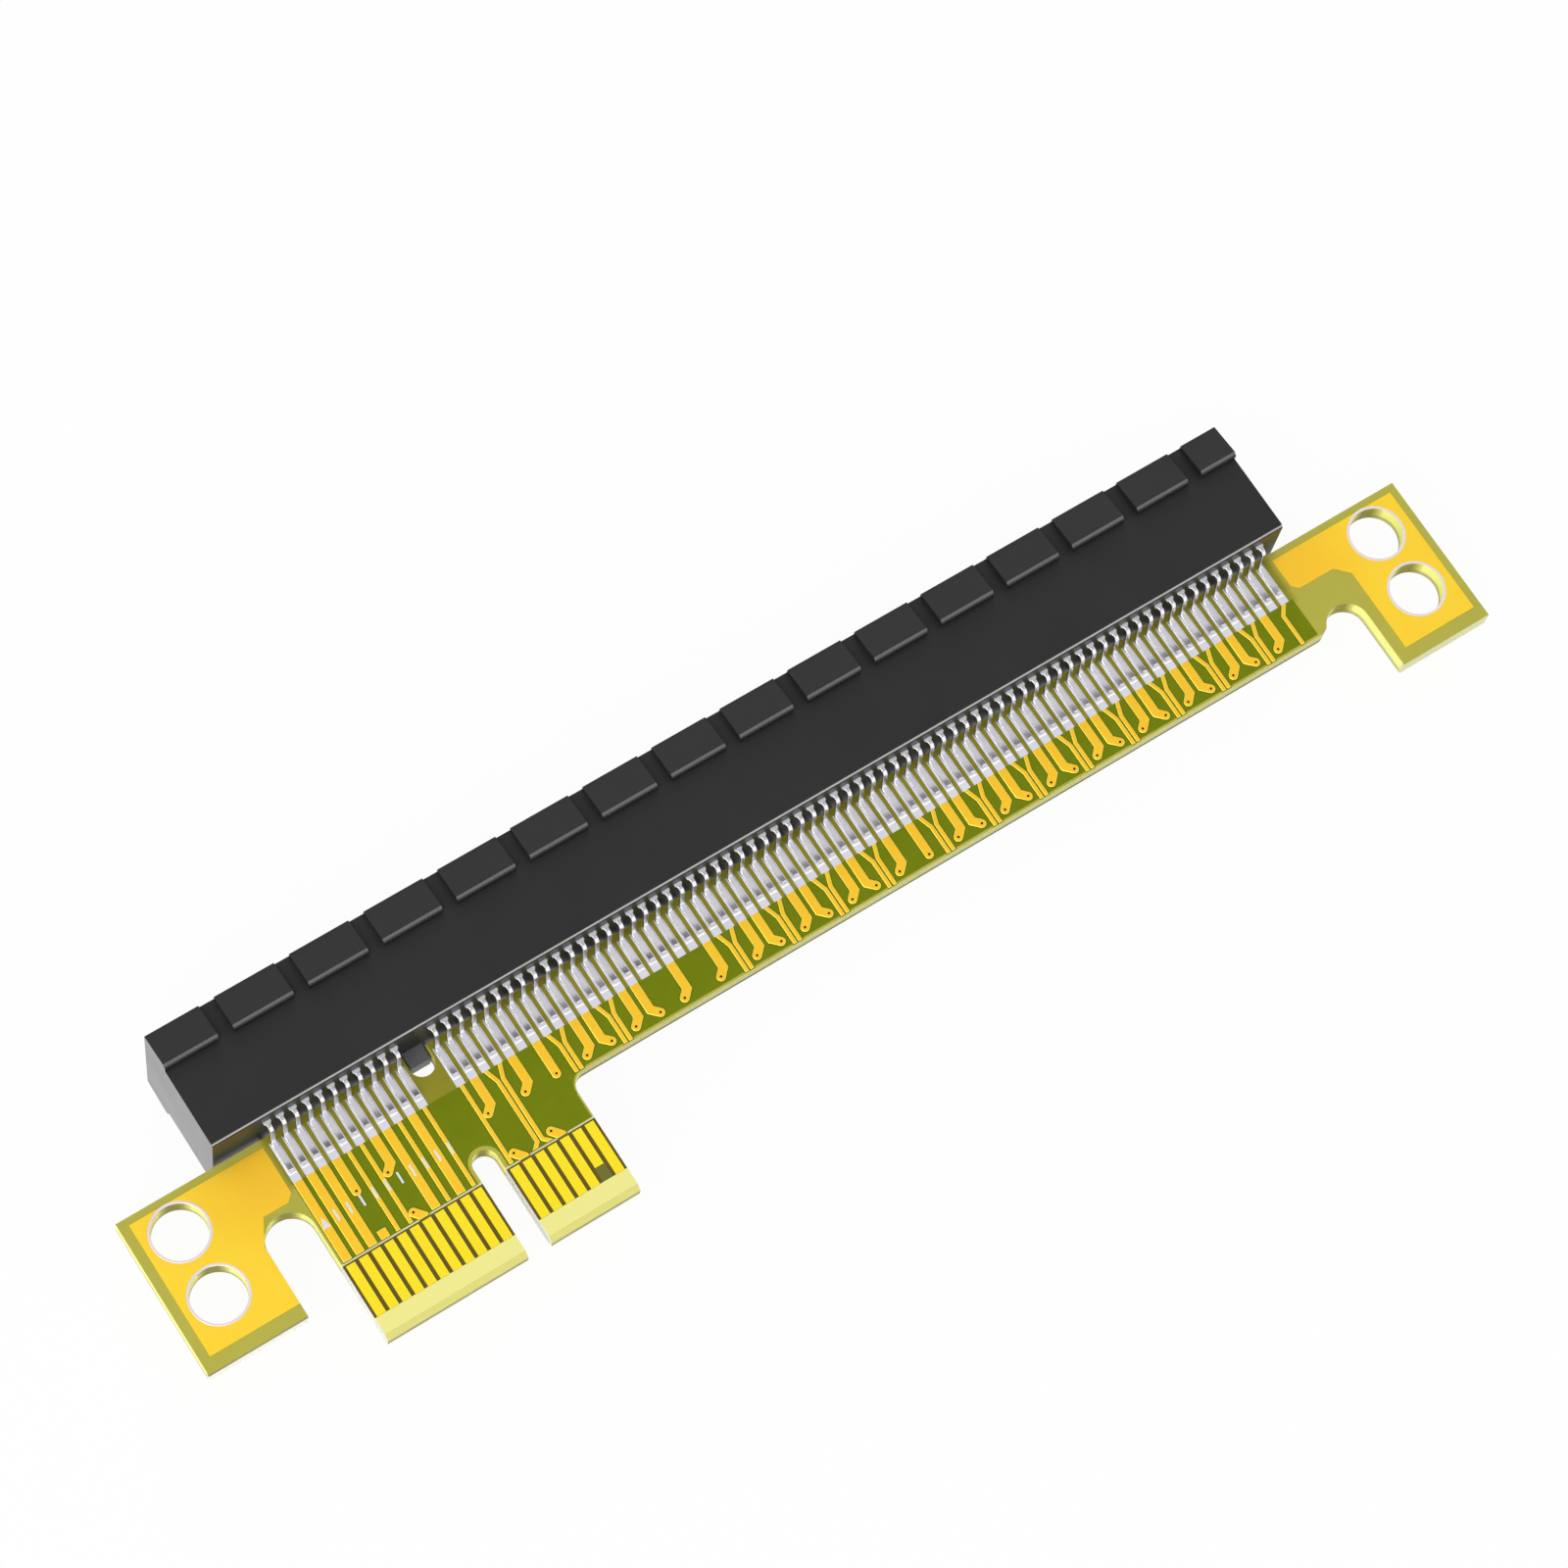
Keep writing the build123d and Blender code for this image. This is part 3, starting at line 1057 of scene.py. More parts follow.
@dataclass
class Finishes:
    """Every material of the card, by its use."""

    made: dict[str, bpy.types.Material] = field(default_factory=dict)

    def build(self) -> None:
        """Write the shared effects and all the materials."""
        build_effects()
        for recipe in RECIPES:
            self.made[recipe.name] = recipe.make()
            log.info("finish %s written", recipe.name)

    def __getitem__(self, name: str) -> bpy.types.Material:
        """Material of that name."""
        return self.made[name]

    def dress_node(self, node: str, name: str) -> None:
        """Give a solid of the frame its material.

        Args:
            node: Name of the solid.
            name: Name of the material.
        """
        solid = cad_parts[node]
        if not solid.material_slots:
            solid.data.materials.append(self.made[name])
        for slot in solid.material_slots:
            slot.material = self.made[name]
        log.info("%s keeps its shape and gets %s", node, name)


@dataclass(frozen=True)
class PinRow:
    """Places of the socket's pins along the card."""

    pitch: float = 1.0
    key_gap: float = 3.0
    before_key: int = 11
    count: int = 82
    on_tongue: int = 18

    def x(self, pin: int) -> float:
        """Place of a pin from the key's centre.

        Args:
            pin: Number of the pin, from 1.

        Returns:
            The pin's X in millimetres.
        """
        if pin > self.before_key:
            return self.key_gap / 2 + (pin - self.before_key - 1) * self.pitch
        return -self.key_gap / 2 - (self.before_key - pin) * self.pitch

    def move(self, pin: int) -> Matrix:
        """Matrix that takes a shape from X 0 to a pin."""
        return Matrix.Translation((self.x(pin), 0.0, 0.0))


@dataclass
class CircuitBoard:
    """The laminate with its fields, ear copper, hole rims and print."""

    finishes: Finishes
    pins: PinRow
    half: float = 0.8
    hole_radius: float = 2.0
    rim_width: float = 0.2
    rim_height: float = 0.045
    rim_sides: int = 48
    rim_upright: float = 0.6
    rim_slope: float = 0.25
    hole_columns: tuple[float, float] = (-20.05, 80.55)
    hole_rows: tuple[float, float] = (8.6, 13.68)
    mark_size: float = 0.6
    mark_rows: tuple[float, float] = (8.75, 9.65)
    mark_height: float = 0.056
    mark_thickness: float = 0.012
    mark_rounding: float = 0.25
    merge_reach: float = 0.001
    tick_width: float = 0.17

    def dress(self) -> None:
        """Give the solids of the board their materials."""
        self.finishes.dress_node("circuit_board", "laminate")
        for side in Side:
            self.finishes.dress_node(f"{side.word}_ground_field", "field_lacquer")
            self.finishes.dress_node(f"{side.word}_ear_copper", "ear_copper")

    def build_rims(self) -> None:
        """Model one tinned hole rim and copy it to the holes of both faces."""
        bpy.ops.object.select_all(action="DESELECT")
        centre = (0, 0, self.half)
        bpy.ops.mesh.primitive_circle_add(
            vertices=self.rim_sides, radius=self.hole_radius, location=centre
        )
        rim = bpy.context.active_object
        bpy.ops.object.transform_apply(location=True, rotation=True, scale=True)
        bpy.ops.object.mode_set(mode="EDIT")
        bpy.ops.mesh.select_all(action="SELECT")
        extrude(Vector((0, 0, 0)))
        growth = (self.hole_radius + self.rim_width) / self.hole_radius
        bpy.ops.transform.resize(value=(growth, growth, 1.0), center_override=centre)
        bpy.ops.mesh.select_mode(type="FACE")
        bpy.ops.mesh.select_all(action="SELECT")
        extrude(Vector((0, 0, self.rim_height * self.rim_upright)))
        bpy.ops.mesh.inset(
            thickness=self.rim_width * self.rim_slope,
            depth=self.rim_height * (1 - self.rim_upright),
        )
        close_edit(rim)
        rim.data.materials.append(self.finishes["rim_tin"])
        holes = [(x, y, 0) for x in self.hole_columns for y in self.hole_rows]
        for side in Side:
            copies = [(rim, side.turn @ Matrix.Translation(hole)) for hole in holes]
            hand_in(lay_out(f"{side.word}_hole_rims", copies), "pad_tin")
        remove_patterns([rim])

    def start_mark(self, name: str, width: float) -> bpy.types.Object:
        """Raise a thin block of print at X 0 and leave it open for editing.

        Args:
            name: Name of the shape.
            width: Its width in millimetres.

        Returns:
            The block, in edit mode with its top selected.
        """
        height = self.half + self.mark_height
        mark = start_sheet(name, -width / 2, width / 2, *self.mark_rows, height)
        bpy.ops.mesh.select_all(action="SELECT")
        extrude(Vector((0, 0, self.mark_thickness)))
        return mark

    def build_marks(self) -> None:
        """Print a triangle at pin 1 and a plain tick at each other power pin."""
        low, high = self.mark_rows
        corner = self.start_mark("mark_corner", self.mark_size)
        choose(corner, Pick.CORNERS, lambda point: point.y > (low + high) / 2)
        tip = (0, high, self.half + self.mark_height)
        bpy.ops.transform.resize(value=(0, 1, 1), center_override=tip)
        bpy.ops.mesh.select_all(action="SELECT")
        bpy.ops.mesh.remove_doubles(threshold=self.merge_reach)
        close_edit(corner)
        tick = self.start_mark("mark_tick", self.tick_width)
        rounding = self.mark_thickness * self.mark_rounding
        bpy.ops.mesh.inset(thickness=self.mark_thickness, depth=rounding)
        close_edit(tick)
        marks = [(corner, self.pins.move(1))]
        others = range(2, self.pins.before_key + 1)
        marks += [(tick, self.pins.move(pin)) for pin in others]
        for pattern in (corner, tick):
            pattern.data.materials.append(self.finishes["white_print"])
        piece = lay_out("front_print", marks)
        hand_in(piece, "field_lacquer")
        remove_patterns([corner, tick])


@dataclass(frozen=True)
class TracePins:
    """Pins that each shape of trace starts from, on one face.

    The pins of left, right and straight have a via on that side, wide and narrow are
    straight traces, lanes are the first pins of the pairs, and stubs names the tongue's
    stubs with the hand of their via, -1 for left and 1 for right.
    """

    left: tuple[int, ...]
    right: tuple[int, ...]
    straight: tuple[int, ...]
    lanes: tuple[int, ...]
    stubs: tuple[tuple[int, int], ...]
    wide: tuple[int, ...]
    narrow: tuple[int, ...]


TRACE_PINS = {
    Side.FRONT: TracePins(
        left=(7, 13, 16, 21, 25, 29, 32, *range(35, 48, 4), *range(52, 81, 4)),
        right=(22, 26, *range(36, 45, 4), *range(53, 78, 4)),
        straight=(4, 18, 49),
        lanes=(14, 19, 23, *range(33, 46, 4), *range(50, 79, 4)),
        stubs=((7, -1), (13, -1), (16, -1)),
        wide=(1, 2, 3, 8, 10),
        narrow=(5, 6, 9, 11, 12),
    ),
    Side.BACK: TracePins(
        left=(23, 27, *range(37, 46, 4), *range(54, 79, 4)),
        right=(12, 15, 20, 24, 28, 31, *range(34, 47, 4), *range(51, 80, 4)),
        straight=(18, 49),
        lanes=(13, 16, 21, 25, 29, *range(35, 48, 4), *range(52, 81, 4)),
        stubs=((12, 1), (15, 1)),
        wide=(2, 3, 4, 9, 10),
        narrow=(1, 5, 6, 7, 8, 11),
    ),
}


def mitred(path: list[Vector], width: float) -> list[tuple[Vector, Vector]]:
    """Left and right edge of a flat strip at each point of its middle line.

    Args:
        path: Points of the middle line.
        width: Width of the strip.

    Returns:
        A pair of points for each point of the path.
    """
    runs = [(after - before).normalized() for before, after in zip(path, path[1:])]
    pairs = []
    for index, point in enumerate(path):
        before = runs[max(index - 1, 0)]
        after = runs[min(index, len(runs) - 1)]
        middle = (before + after).normalized()
        across = Vector((-middle.y, middle.x, 0))
        reach = width / 2 / across.dot(Vector((-after.y, after.x, 0)))
        pairs.append((point + across * reach, point - across * reach))
    return pairs


@dataclass
class TracePattern:
    """Copper traces of one face, raised on the dark field and outlined by a darker
    border of painted shade.
    """

    finishes: Finishes
    pins: PinRow
    side: Side
    coats: tuple[str, ...] = ("trace_copper", "trace_outline", "via_shadow")
    wide: float = 0.68
    narrow: float = 0.32
    outline: float = 0.048
    rim: float = 0.042
    lift: float = 0.028
    floor: float = 0.81
    field_top: float = 0.8235
    top_end: float = 12.7
    bend_height: float = 10.45
    via_height: float = 9.95
    via_offset: float = 0.5
    via_radius: float = 0.1
    via_sink: float = 0.8
    via_margin: float = 0.01
    via_faces_reach: float = 0.2
    via_floor_reach: float = 0.08
    level_slack: float = 0.005
    end_rounding: float = 0.97
    end_segments: int = 5
    corner_touch: float = 0.003
    lower_via: float = 6.65
    stub_overlap: float = 0.12
    finger_end: float = 6.06
    strip_end: float = 9.27
    joint_height: float = 11.55
    splay_height: float = 6.5
    splay_reach: float = 0.66
    pair_half: float = 0.21
    leg_reach: float = 0.565
    leg_straight: float = 0.1
    last_pin_bends: tuple[tuple[float, float], ...] = ((-0.12, 12.58), (-0.67, 11.85))
    stubbed_power_pin: int = 4
    power_stub_top: float = 6.85
    patterns: list[bpy.types.Object] = field(default_factory=list)

    def ribbon(
        self,
        name: str,
        path: list[tuple[float, float]],
        width: float,
        level_end: bool = False,
    ) -> bpy.types.Object:
        """Lay a flat strip along a path and leave it open for editing.

        Args:
            name: Name of the shape.
            path: Points of its middle line, the first run straight down.
            width: Width of the copper.
            level_end: Whether it ends along X, and not square to its last run.

        Returns:
            The strip, in edit mode.
        """
        points = [Vector((x, y, self.floor)) for x, y in path]
        full = width + 2 * self.outline
        pairs = mitred(points, full)
        if level_end:
            run = (points[-1] - points[-2]).normalized()
            level, ends = points[-1].y, pairs[-1]
            pairs[-1] = tuple(end + run * ((level - end.y) / run.y) for end in ends)
        first, second = points[0], points[1]
        left, right = first.x - full / 2, first.x + full / 2
        part = start_sheet(name, left, right, second.y, first.y, self.floor)
        for coat in self.coats:
            part.data.materials.append(self.finishes[coat])
        half = Vector((full / 2, 0, 0))
        for start, goal in zip((second + half, second - half), pairs[1]):
            shift_corner(part, start, goal)
        for index in range(2, len(points)):
            middle = (pairs[index - 1][0] + pairs[index - 1][1]) / 2
            choose(part, Pick.EDGES, near(middle, CORNER_REACH))
            step = points[index] - points[index - 1]
            extrude(step)
            for start, goal in zip(pairs[index - 1], pairs[index]):
                shift_corner(part, start + step, goal)
        return part

    def round_off(
        self, part: bpy.types.Object, corners: tuple[Vector, ...], radius: float
    ) -> None:
        """Round corners of a flat strip.

        Args:
            part: The strip, in edit mode.
            corners: Where the corners are.
            radius: Radius of the rounding.
        """
        tests = [near(corner, self.corner_touch) for corner in corners]
        choose(part, Pick.CORNERS, lambda point: any(test(point) for test in tests))
        bpy.ops.mesh.bevel(offset=radius, segments=self.end_segments, affect="VERTICES")

    def emboss(self, part: bpy.types.Object) -> None:
        """Raise the copper in the middle of a strip above its border, the dark outline
        of painted shade.

        Args:
            part: The strip, in edit mode.
        """
        bpy.ops.mesh.select_mode(type="FACE")
        bpy.ops.mesh.select_all(action="SELECT")
        extrude(Vector((0, 0, self.field_top - self.floor)))
        bpy.ops.mesh.inset(thickness=self.outline, depth=0.0)
        bpy.ops.mesh.select_all(action="INVERT")
        # Painted shade on the outline round the copper
        paint_selected(part, self.coats.index("trace_outline"))
        bpy.ops.mesh.select_all(action="INVERT")
        bpy.ops.mesh.inset(thickness=self.rim, depth=self.lift)

    def drill(self, part: bpy.types.Object, via: Vector) -> None:
        """Sink a via in the copper.

        Args:
            part: The raised strip, in edit mode.
            via: Centre of the via on the copper's top.
        """

        def choose_faces(reach: float, lowest: float) -> None:
            """Select the faces near the via and above a height."""
            test = near(via, reach)
            choose(part, Pick.FACES, lambda middle: test(middle) and middle.z > lowest)

        top = via.z - self.level_slack
        choose_faces(self.via_faces_reach, top)
        bpy.ops.mesh.poke()
        shape = bmesh.from_edit_mesh(part.data)
        tops = [corner.co.copy() for corner in shape.verts if corner.co.z > top]
        hub = min(tops, key=lambda point: (point - via).length)
        shift_corner(part, hub, via)
        bpy.ops.mesh.bevel(offset=self.via_radius, segments=1, affect="VERTICES")
        choose_faces(self.via_floor_reach, top)
        extrude(Vector((0, 0, -self.lift * self.via_sink)))
        choose_faces(self.via_radius + self.via_margin, via.z - self.lift)
        paint_selected(part, self.coats.index("via_shadow"))

    def finish_shape(self, part: bpy.types.Object) -> bpy.types.Object:
        """Close a shape and keep it for copying.

        Args:
            part: The shape, in edit mode.

        Returns:
            The same shape.
        """
        close_edit(part)
        self.patterns.append(part)
        return part

    def via_trace(self, name: str, path: list[tuple[float, float]]) -> bpy.types.Object:
        """Wide trace that ends round about a via at the path's last point.

        Args:
            name: Name of the shape.
            path: Points of its middle line down to the via.

        Returns:
            The finished shape at X 0.
        """
        half = self.wide / 2 + self.outline
        via = Vector((*path[-1], 0))
        run = (via - Vector((*path[-2], 0))).normalized()
        square = via - run * half
        end = via + run * half
        line = [*path[:-1], (square.x, square.y), (end.x, end.y)]
        part = self.ribbon(name, line, self.wide)
        across = Vector((-run.y, run.x, 0)) * half
        lift = Vector((0, 0, self.floor))
        corners = (end + across + lift, end - across + lift)
        self.round_off(part, corners, half * self.end_rounding)
        self.emboss(part)
        self.drill(part, Vector((via.x, via.y, self.field_top + self.lift)))
        return self.finish_shape(part)

    def plain_trace(
        self, name: str, path: list[tuple[float, float]], width: float
    ) -> bpy.types.Object:
        """Trace without a via.

        Args:
            name: Name of the shape.
            path: Points of its middle line.
            width: Width of the copper.

        Returns:
            The finished shape.
        """
        part = self.ribbon(name, path, width, level_end=True)
        self.emboss(part)
        return self.finish_shape(part)

    def turned_via(self, hand: int) -> bpy.types.Object:
        """Ground trace that turns to its via.

        Args:
            hand: -1 for a via to the left of the pin, 1 for one to its right.

        Returns:
            The finished shape at X 0.
        """
        via = (hand * self.via_offset, self.via_height)
        path = [(0, self.top_end), (0, self.bend_height), via]
        return self.via_trace(f"turned_{hand}", path)

    def stub(self, hand: int) -> bpy.types.Object:
        """Short trace from a finger up to a lower via beside it.

        Args:
            hand: -1 for a via to the left of the pin, 1 for one to its right.

        Returns:
            The finished shape at X 0.
        """
        foot = -self.finger_end
        via = (hand * self.via_offset, -self.lower_via)
        path = [(0, foot + self.stub_overlap), (0, foot), via]
        part = self.via_trace(f"stub_{hand}", path)
        part.data.transform(Matrix.Diagonal((1.0, -1.0, 1.0, 1.0)))
        part.data.flip_normals()
        return part

    def pair_leg(self, hand: int, to_fingers: bool) -> bpy.types.Object:
        """One trace of a lane pair.

        Args:
            hand: -1 for the left trace, 1 for the right one.
            to_fingers: Whether it runs down the tongue, and not to the strip's edge.

        Returns:
            The finished shape, with the middle of its pair at X 0.
        """
        near_x = hand * self.pair_half
        leg = hand * self.leg_reach
        path = [
            (leg, self.top_end),
            (leg, self.top_end - self.leg_straight),
            (near_x, self.joint_height),
        ]
        if to_fingers:
            path.append((near_x, self.splay_height))
            path.append((hand * self.splay_reach, self.finger_end))
        else:
            path.append((near_x, self.strip_end))
        return self.plain_trace(f"pair_{hand}_{to_fingers}", path, self.narrow)

    def lay(self, kind: str, copies: Iterable[tuple[bpy.types.Object, Matrix]]) -> None:
        """Lay copies of shapes on this face as one piece.

        Args:
            kind: What the traces carry, as the nodes spell it.
            copies: Each shape with its move along the card.
        """
        turned = [(shape, self.side.turn @ move) for shape, move in copies]
        piece = lay_out(f"{self.side.word}_{kind}_copper", turned)
        nodes = [f"front_{kind}_traces"] if self.side is Side.FRONT else []
        hand_in(piece, "trace_copper", *nodes)

    def build_ground(self, traced: TracePins) -> None:
        """Lay the wide traces that end in vias.

        Args:
            traced: Pins of each shape on this face.
        """
        left, right = self.turned_via(-1), self.turned_via(1)
        down = self.via_trace("down", [(0, self.top_end), (0, self.via_height)])
        copies = [(left, pin) for pin in traced.left]
        copies += [(right, pin) for pin in traced.right]
        copies += [(down, pin) for pin in traced.straight]
        hands = sorted({hand for _, hand in traced.stubs})
        short = {hand: self.stub(hand) for hand in hands}
        copies += [(short[hand], pin) for pin, hand in traced.stubs]
        self.lay("ground", [(shape, self.pins.move(pin)) for shape, pin in copies])

    def build_lanes(self, traced: TracePins) -> None:
        """Lay the pairs of narrow traces.

        Args:
            traced: Pins of each shape on this face.
        """
        copies = []
        shapes: dict[tuple[int, bool], bpy.types.Object] = {}
        for pin in traced.lanes:
            to_fingers = pin < self.pins.on_tongue
            move = Matrix.Translation((self.pins.x(pin) + self.pins.pitch / 2, 0, 0))
            for hand in (-1, 1):
                if (hand, to_fingers) not in shapes:
                    shapes[hand, to_fingers] = self.pair_leg(hand, to_fingers)
                copies.append((shapes[hand, to_fingers], move))
        self.lay("lane", copies)

    def build_power(self, traced: TracePins) -> None:
        """Lay the straight traces of the power pins and the last pin's stepped one.

        Args:
            traced: Pins of each shape on this face.
        """
        run = [(0, self.top_end), (0, self.finger_end)]
        wide = self.plain_trace("power_wide", run, self.wide)
        narrow = self.plain_trace("power_narrow", run, self.narrow)
        copies = [(wide, pin) for pin in traced.wide]
        copies += [(narrow, pin) for pin in traced.narrow]
        if self.side is Side.FRONT:
            (top, _), (foot, _) = self.last_pin_bends
            path = [(top, self.top_end), *self.last_pin_bends, (foot, self.strip_end)]
            last = self.plain_trace("last_pin", path, self.narrow)
            stub_run = [(0, self.power_stub_top), (0, self.finger_end)]
            stub = self.plain_trace("pin_four_stub", stub_run, self.wide)
            copies += [(last, self.pins.count), (stub, self.stubbed_power_pin)]
        self.lay("power", [(shape, self.pins.move(pin)) for shape, pin in copies])

    def build(self) -> None:
        """Lay all the traces of this face."""
        traced = TRACE_PINS[self.side]
        self.build_ground(traced)
        self.build_lanes(traced)
        self.build_power(traced)
        remove_patterns(self.patterns)


@dataclass
class TongueAndPads:
    """Gold fingers of the tongue and tinned pads under the contacts."""

    finishes: Finishes
    pins: PinRow
    pad_top: float = 0.86
    solder_half: float = 0.29
    solder_from: float = 13.2
    solder_to: float = 15.83
    solder_sink: float = 0.01
    solder_base: float = 0.015
    solder_height: float = 0.07
    solder_slope: float = 0.07

    def dress(self) -> None:
        """Give the fingers and pads their materials."""
        for side in Side:
            self.finishes.dress_node(f"{side.word}_fingers", "finger_gold")
            self.finishes.dress_node(f"{side.word}_pads", "pad_tin")

    def build_solder(self) -> None:
        """Model the solder that climbs one foot and heel, and copy it to every pad."""
        half, level = self.solder_half, self.pad_top - self.solder_sink
        ends = (self.solder_from, self.solder_to)
        part = start_sheet("solder", -half, half, *ends, level)
        part.data.materials.append(self.finishes["solder"])
        bpy.ops.mesh.select_all(action="SELECT")
        extrude(Vector((0, 0, self.solder_base)))
        slope, height = self.solder_slope, self.solder_height
        bpy.ops.mesh.inset(thickness=slope / 2, depth=height / 2)
        bpy.ops.mesh.inset(thickness=slope, depth=height / 4)
        close_edit(part)
        pins = range(1, self.pins.count + 1)
        for side in Side:
            copies = [(part, side.turn @ self.pins.move(pin)) for pin in pins]
            hand_in(lay_out(f"{side.word}_solder", copies), "pad_tin")
        remove_patterns([part])


@dataclass
class Contacts:
    """Formed strip contacts: toe, foot, leg, head in the housing, beam in the slot."""

    finishes: Finishes
    pins: PinRow
    thickness: float = 0.17
    edge: float = 0.025
    edge_from: float = 55.0
    touch: float = 0.004
    foot: tuple[float, float, float] = (14.8, 15.5, 0.955)
    foot_width: float = 0.42
    toe: tuple[tuple[float, float, float], ...] = (
        (14.45, 0.962, 0.42),
        (14.12, 0.992, 0.42),
        (13.86, 1.048, 0.42),
        (13.62, 1.122, 0.42),
        (13.42, 1.195, 0.4),
    )
    stations: tuple[tuple[float, float, float], ...] = (
        (15.82, 1.08, 0.38),
        (16.02, 2.95, 0.32),
        (16.2, 3.19, 0.31),
        (16.36, 3.19, 0.32),
        (16.48, 3.19, 0.37),
        (16.56, 3.19, 0.58),
        (16.92, 3.19, 0.58),
        (17.05, 3.19, 0.46),
        (19.15, 3.19, 0.46),
        (23.75, 0.78, 0.4),
        (24.35, 1.02, 0.36),
    )
    bend_segments: int = 3
    bends: tuple[tuple[float, float, float], ...] = (
        (15.5, 0.955, 0.14),
        (19.15, 3.19, 0.4),
        (23.75, 0.78, 0.25),
    )
    groups: tuple[tuple[str, int, int], ...] = (
        ("power", 1, 11),
        ("first_lane", 12, 18),
        ("lanes_to_four", 19, 32),
        ("lanes_to_eight", 33, 49),
        ("lanes_to_sixteen", 50, 82),
    )

    def lead_on(
        self, part: bpy.types.Object, place: Vector, stations: Iterable[tuple]
    ) -> None:
        """Extrude an end of the strip from station to station.

        Args:
            part: The strip, in edit mode.
            place: Middle of the edge that is led on.
            stations: Y, Z and width at each station.
        """
        width = self.foot_width
        for y, z, next_width in stations:
            choose(part, Pick.EDGES, near(place, self.touch))
            goal = Vector((0, y, z))
            extrude(goal - place)
            growth = next_width / width
            bpy.ops.transform.resize(value=(growth, 1, 1), center_override=tuple(goal))
            place, width = goal, next_width

    def form(self) -> bpy.types.Object:
        """Model one contact on the front at X 0.

        Returns:
            The contact.
        """
        low, high, level = self.foot
        half = self.foot_width / 2
        part = start_sheet("contact", -half, half, low, high, level)
        self.lead_on(part, Vector((0, high, level)), self.stations)
        self.lead_on(part, Vector((0, low, level)), self.toe)
        for y, z, radius in self.bends:
            choose(part, Pick.EDGES, near(Vector((0, y, z)), self.touch))
            bpy.ops.mesh.bevel(
                offset=radius, segments=self.bend_segments, affect="EDGES"
            )
        close_edit(part)
        wall = part.modifiers.new("wall", "SOLIDIFY")
        wall.thickness = self.thickness
        wall.offset = 0.0
        wall.use_even_offset = True
        edges = part.modifiers.new("edges", "BEVEL")
        edges.width = self.edge
        edges.segments = 1
        edges.limit_method = "ANGLE"
        edges.angle_limit = math.radians(self.edge_from)
        apply_modifiers(part)
        part.data.materials.append(self.finishes["contact_tin"])
        return part

    def build(self) -> None:
        """Copy the contact to every pin of both faces, one piece for each group."""
        contact = self.form()
        for side in Side:
            for group, first, last in self.groups:
                node = f"{side.word}_contacts_{group}"
                pins = range(first, last + 1)
                copies = [(contact, side.turn @ self.pins.move(pin)) for pin in pins]
                hand_in(lay_out(f"formed_{node}", copies), "contact_tin", node)
        remove_patterns([contact])


@dataclass
class SocketHousing:
    """The moulded socket, which keeps its solid."""

    finishes: Finishes

    def dress(self) -> None:
        """Give the housing its plastic."""
        self.finishes.dress_node("socket_housing", "socket_plastic")


@dataclass(frozen=True)
class Lamp:
    """Soft square lamp that looks at the object, in metres and watts."""

    name: str
    place: tuple[float, float, float]
    size: float
    power: float

    def build(self) -> None:
        """Hang the lamp."""
        bpy.ops.object.select_all(action="DESELECT")
        bpy.ops.object.light_add(type="AREA", location=self.place)
        lamp = bpy.context.active_object
        lamp.name = self.name
        lamp.data.shape = "SQUARE"
        lamp.data.size = self.size
        lamp.data.energy = self.power
        lamp.rotation_euler = (-Vector(self.place)).to_track_quat("-Z", "Y").to_euler()


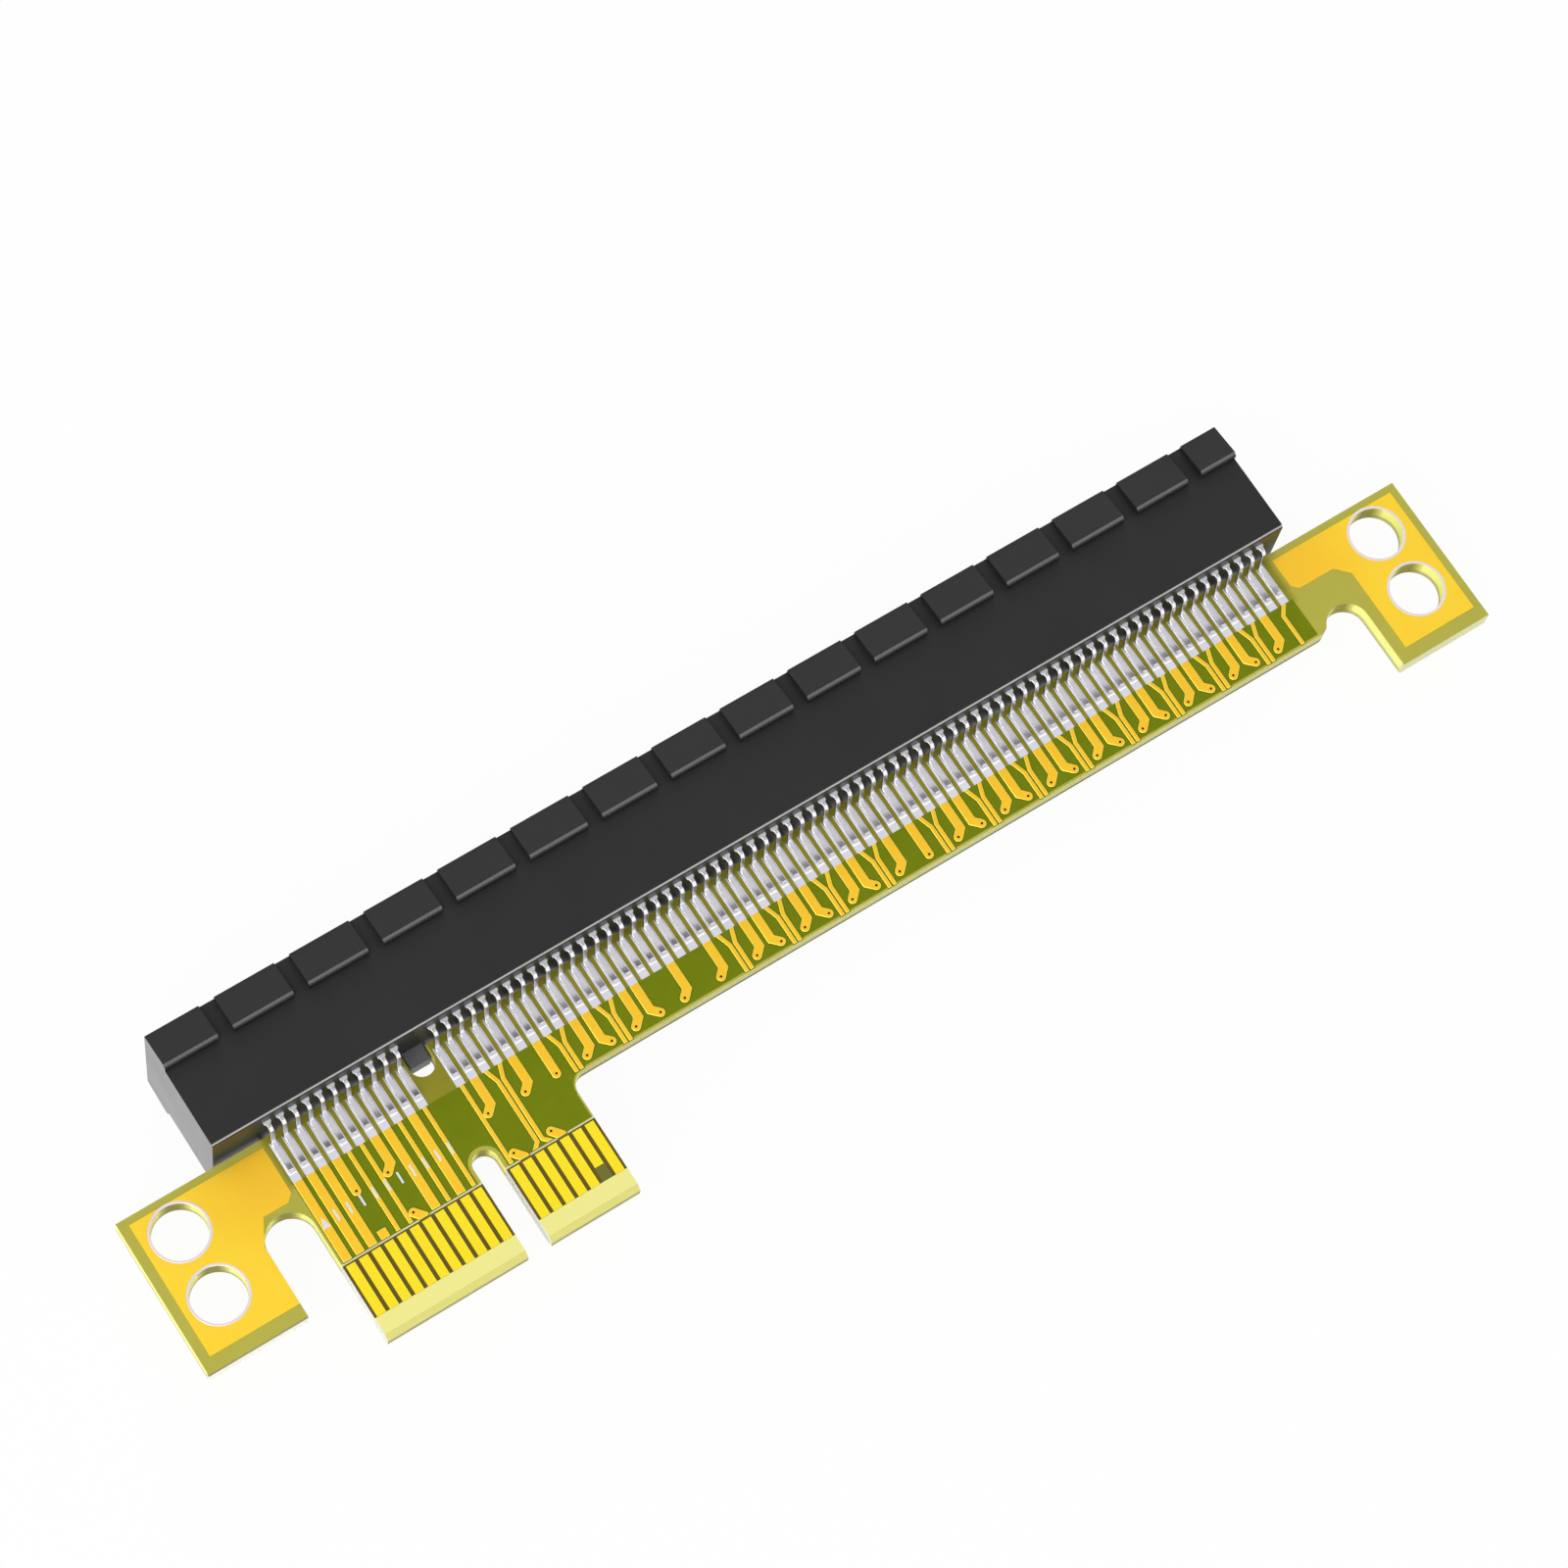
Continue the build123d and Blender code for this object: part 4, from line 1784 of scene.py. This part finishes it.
@dataclass
class Studio:
    """Camera, soft lamps, pale floor and white surroundings."""

    image_size: int = 1600
    focal_pixels: float = 4899.82
    sensor: float = 36.0
    clip: tuple[float, float] = (0.01, 10.0)
    eye: tuple[float, float, float] = (-0.090360, -0.077839, 0.320652)
    right: tuple[float, float, float] = (0.8330, -0.5444, 0.0989)
    up: tuple[float, float, float] = (0.4809, 0.8006, 0.3574)
    back: tuple[float, float, float] = (-0.2738, -0.2502, 0.9287)
    lamps: tuple[Lamp, ...] = (
        Lamp("key_lamp", (-0.75, -0.45, 1.1), 0.8, 7.5),
        Lamp("left_lamp", (-1.3, -0.1, 0.4), 0.6, 4.5),
        Lamp("front_lamp", (0.3, -1.25, 0.45), 0.6, 2.0),
        Lamp("back_lamp", (0.5, 1.2, 0.6), 0.6, 2.5),
    )
    fill: float = 0.52
    floor_half: float = 1.5
    floor_height: float = -0.0002
    floor_tones: tuple[Colour, Colour] = (tone(246, 246, 246), tone(250, 250, 250))
    floor_roughness: float = 0.9
    floor_patches: dict[str, float] = field(
        default_factory=lambda: {"Scale": 30.0, "Detail": 3.0}
    )
    glow: float = 0.95

    def build_camera(self) -> None:
        """Place the camera where the photograph was taken."""
        bpy.ops.object.select_all(action="DESELECT")
        bpy.ops.object.camera_add()
        camera = bpy.context.active_object
        camera.name = "camera"
        camera.data.sensor_width = self.sensor
        camera.data.lens = self.focal_pixels * self.sensor / self.image_size
        camera.data.clip_start, camera.data.clip_end = self.clip
        turn = Matrix((self.right, self.up, self.back)).transposed().to_4x4()
        camera.matrix_world = Matrix.Translation(self.eye) @ turn
        bpy.context.scene.camera = camera

    def seen_straight(self, sheet: Sheet) -> bpy.types.NodeSocket:
        """Mask of the camera, glossy and transmission rays, which see the surroundings.

        Args:
            sheet: The tree that it is written in.

        Returns:
            The mask's socket.
        """
        rays = sheet.add("ShaderNodeLightPath").outputs
        camera, glossy = rays["Is Camera Ray"], rays["Is Glossy Ray"]
        mask = sheet.math("ADD", camera, glossy, clamp=True)
        return sheet.math("ADD", mask, rays["Is Transmission Ray"], clamp=True)

    def build_world(self) -> None:
        """Make the surroundings white where they are seen, an even fill elsewhere."""
        world = bpy.data.worlds.new("surroundings")
        world.use_nodes = True
        bpy.context.scene.world = world
        sheet = Sheet(world.node_tree)
        background = world.node_tree.nodes["Background"]
        background.inputs["Color"].default_value = (1, 1, 1, 1)
        seen = self.seen_straight(sheet)
        strength = sheet.math("MULTIPLY_ADD", seen, 1.0 - self.fill, self.fill)
        sheet.join(strength, background.inputs["Strength"])

    def paper(self) -> bpy.types.Material:
        """Write the floor's pale paper, white where it is seen.

        Returns:
            The material.
        """
        material = bpy.data.materials.new("floor_paper")
        material.use_nodes = True
        sheet = Sheet(material.node_tree)
        nodes = material.node_tree.nodes
        paper = nodes["Principled BSDF"]
        paper.inputs["Roughness"].default_value = self.floor_roughness
        noise = sheet.add("ShaderNodeTexNoise", self.floor_patches)
        shade = sheet.blend(noise.outputs[0], *self.floor_tones)
        sheet.join(shade, paper.inputs["Base Color"])
        white = {"Color": (1, 1, 1, 1), "Strength": 1.0}
        light = sheet.add("ShaderNodeEmission", white)
        share = sheet.math("MULTIPLY", self.seen_straight(sheet), self.glow)
        parts = {0: share, 1: paper.outputs[0], 2: light.outputs[0]}
        mixed = sheet.add("ShaderNodeMixShader", parts)
        sheet.join(mixed.outputs[0], nodes["Material Output"].inputs["Surface"])
        return material

    def build_floor(self) -> None:
        """Lay the floor, which still takes the shadow."""
        bpy.ops.object.select_all(action="DESELECT")
        bpy.ops.mesh.primitive_plane_add(
            size=2 * self.floor_half, location=(0, 0, self.floor_height)
        )
        floor = bpy.context.active_object
        floor.name = "floor"
        bpy.ops.object.transform_apply(location=True, rotation=True, scale=True)
        floor.data.materials.append(self.paper())

    def build(self) -> None:
        """Set up the whole studio."""
        bpy.context.scene.view_settings.view_transform = "Standard"
        self.build_camera()
        for lamp in self.lamps:
            lamp.build()
        self.build_world()
        self.build_floor()
        log.info("studio ready")


def main() -> None:
    """Build the studio, the finishes and every piece of the card in order."""
    logging.basicConfig(level=logging.INFO, format="%(message)s", stream=sys.stdout)
    Studio().build()
    finishes = Finishes()
    finishes.build()
    pins = PinRow()
    board = CircuitBoard(finishes, pins)
    board.dress()
    board.build_rims()
    board.build_marks()
    for side in Side:
        TracePattern(finishes, pins, side).build()
    tongue = TongueAndPads(finishes, pins)
    tongue.dress()
    tongue.build_solder()
    Contacts(finishes, pins).build()
    SocketHousing(finishes).dress()


if __name__ == "__main__":
    main()
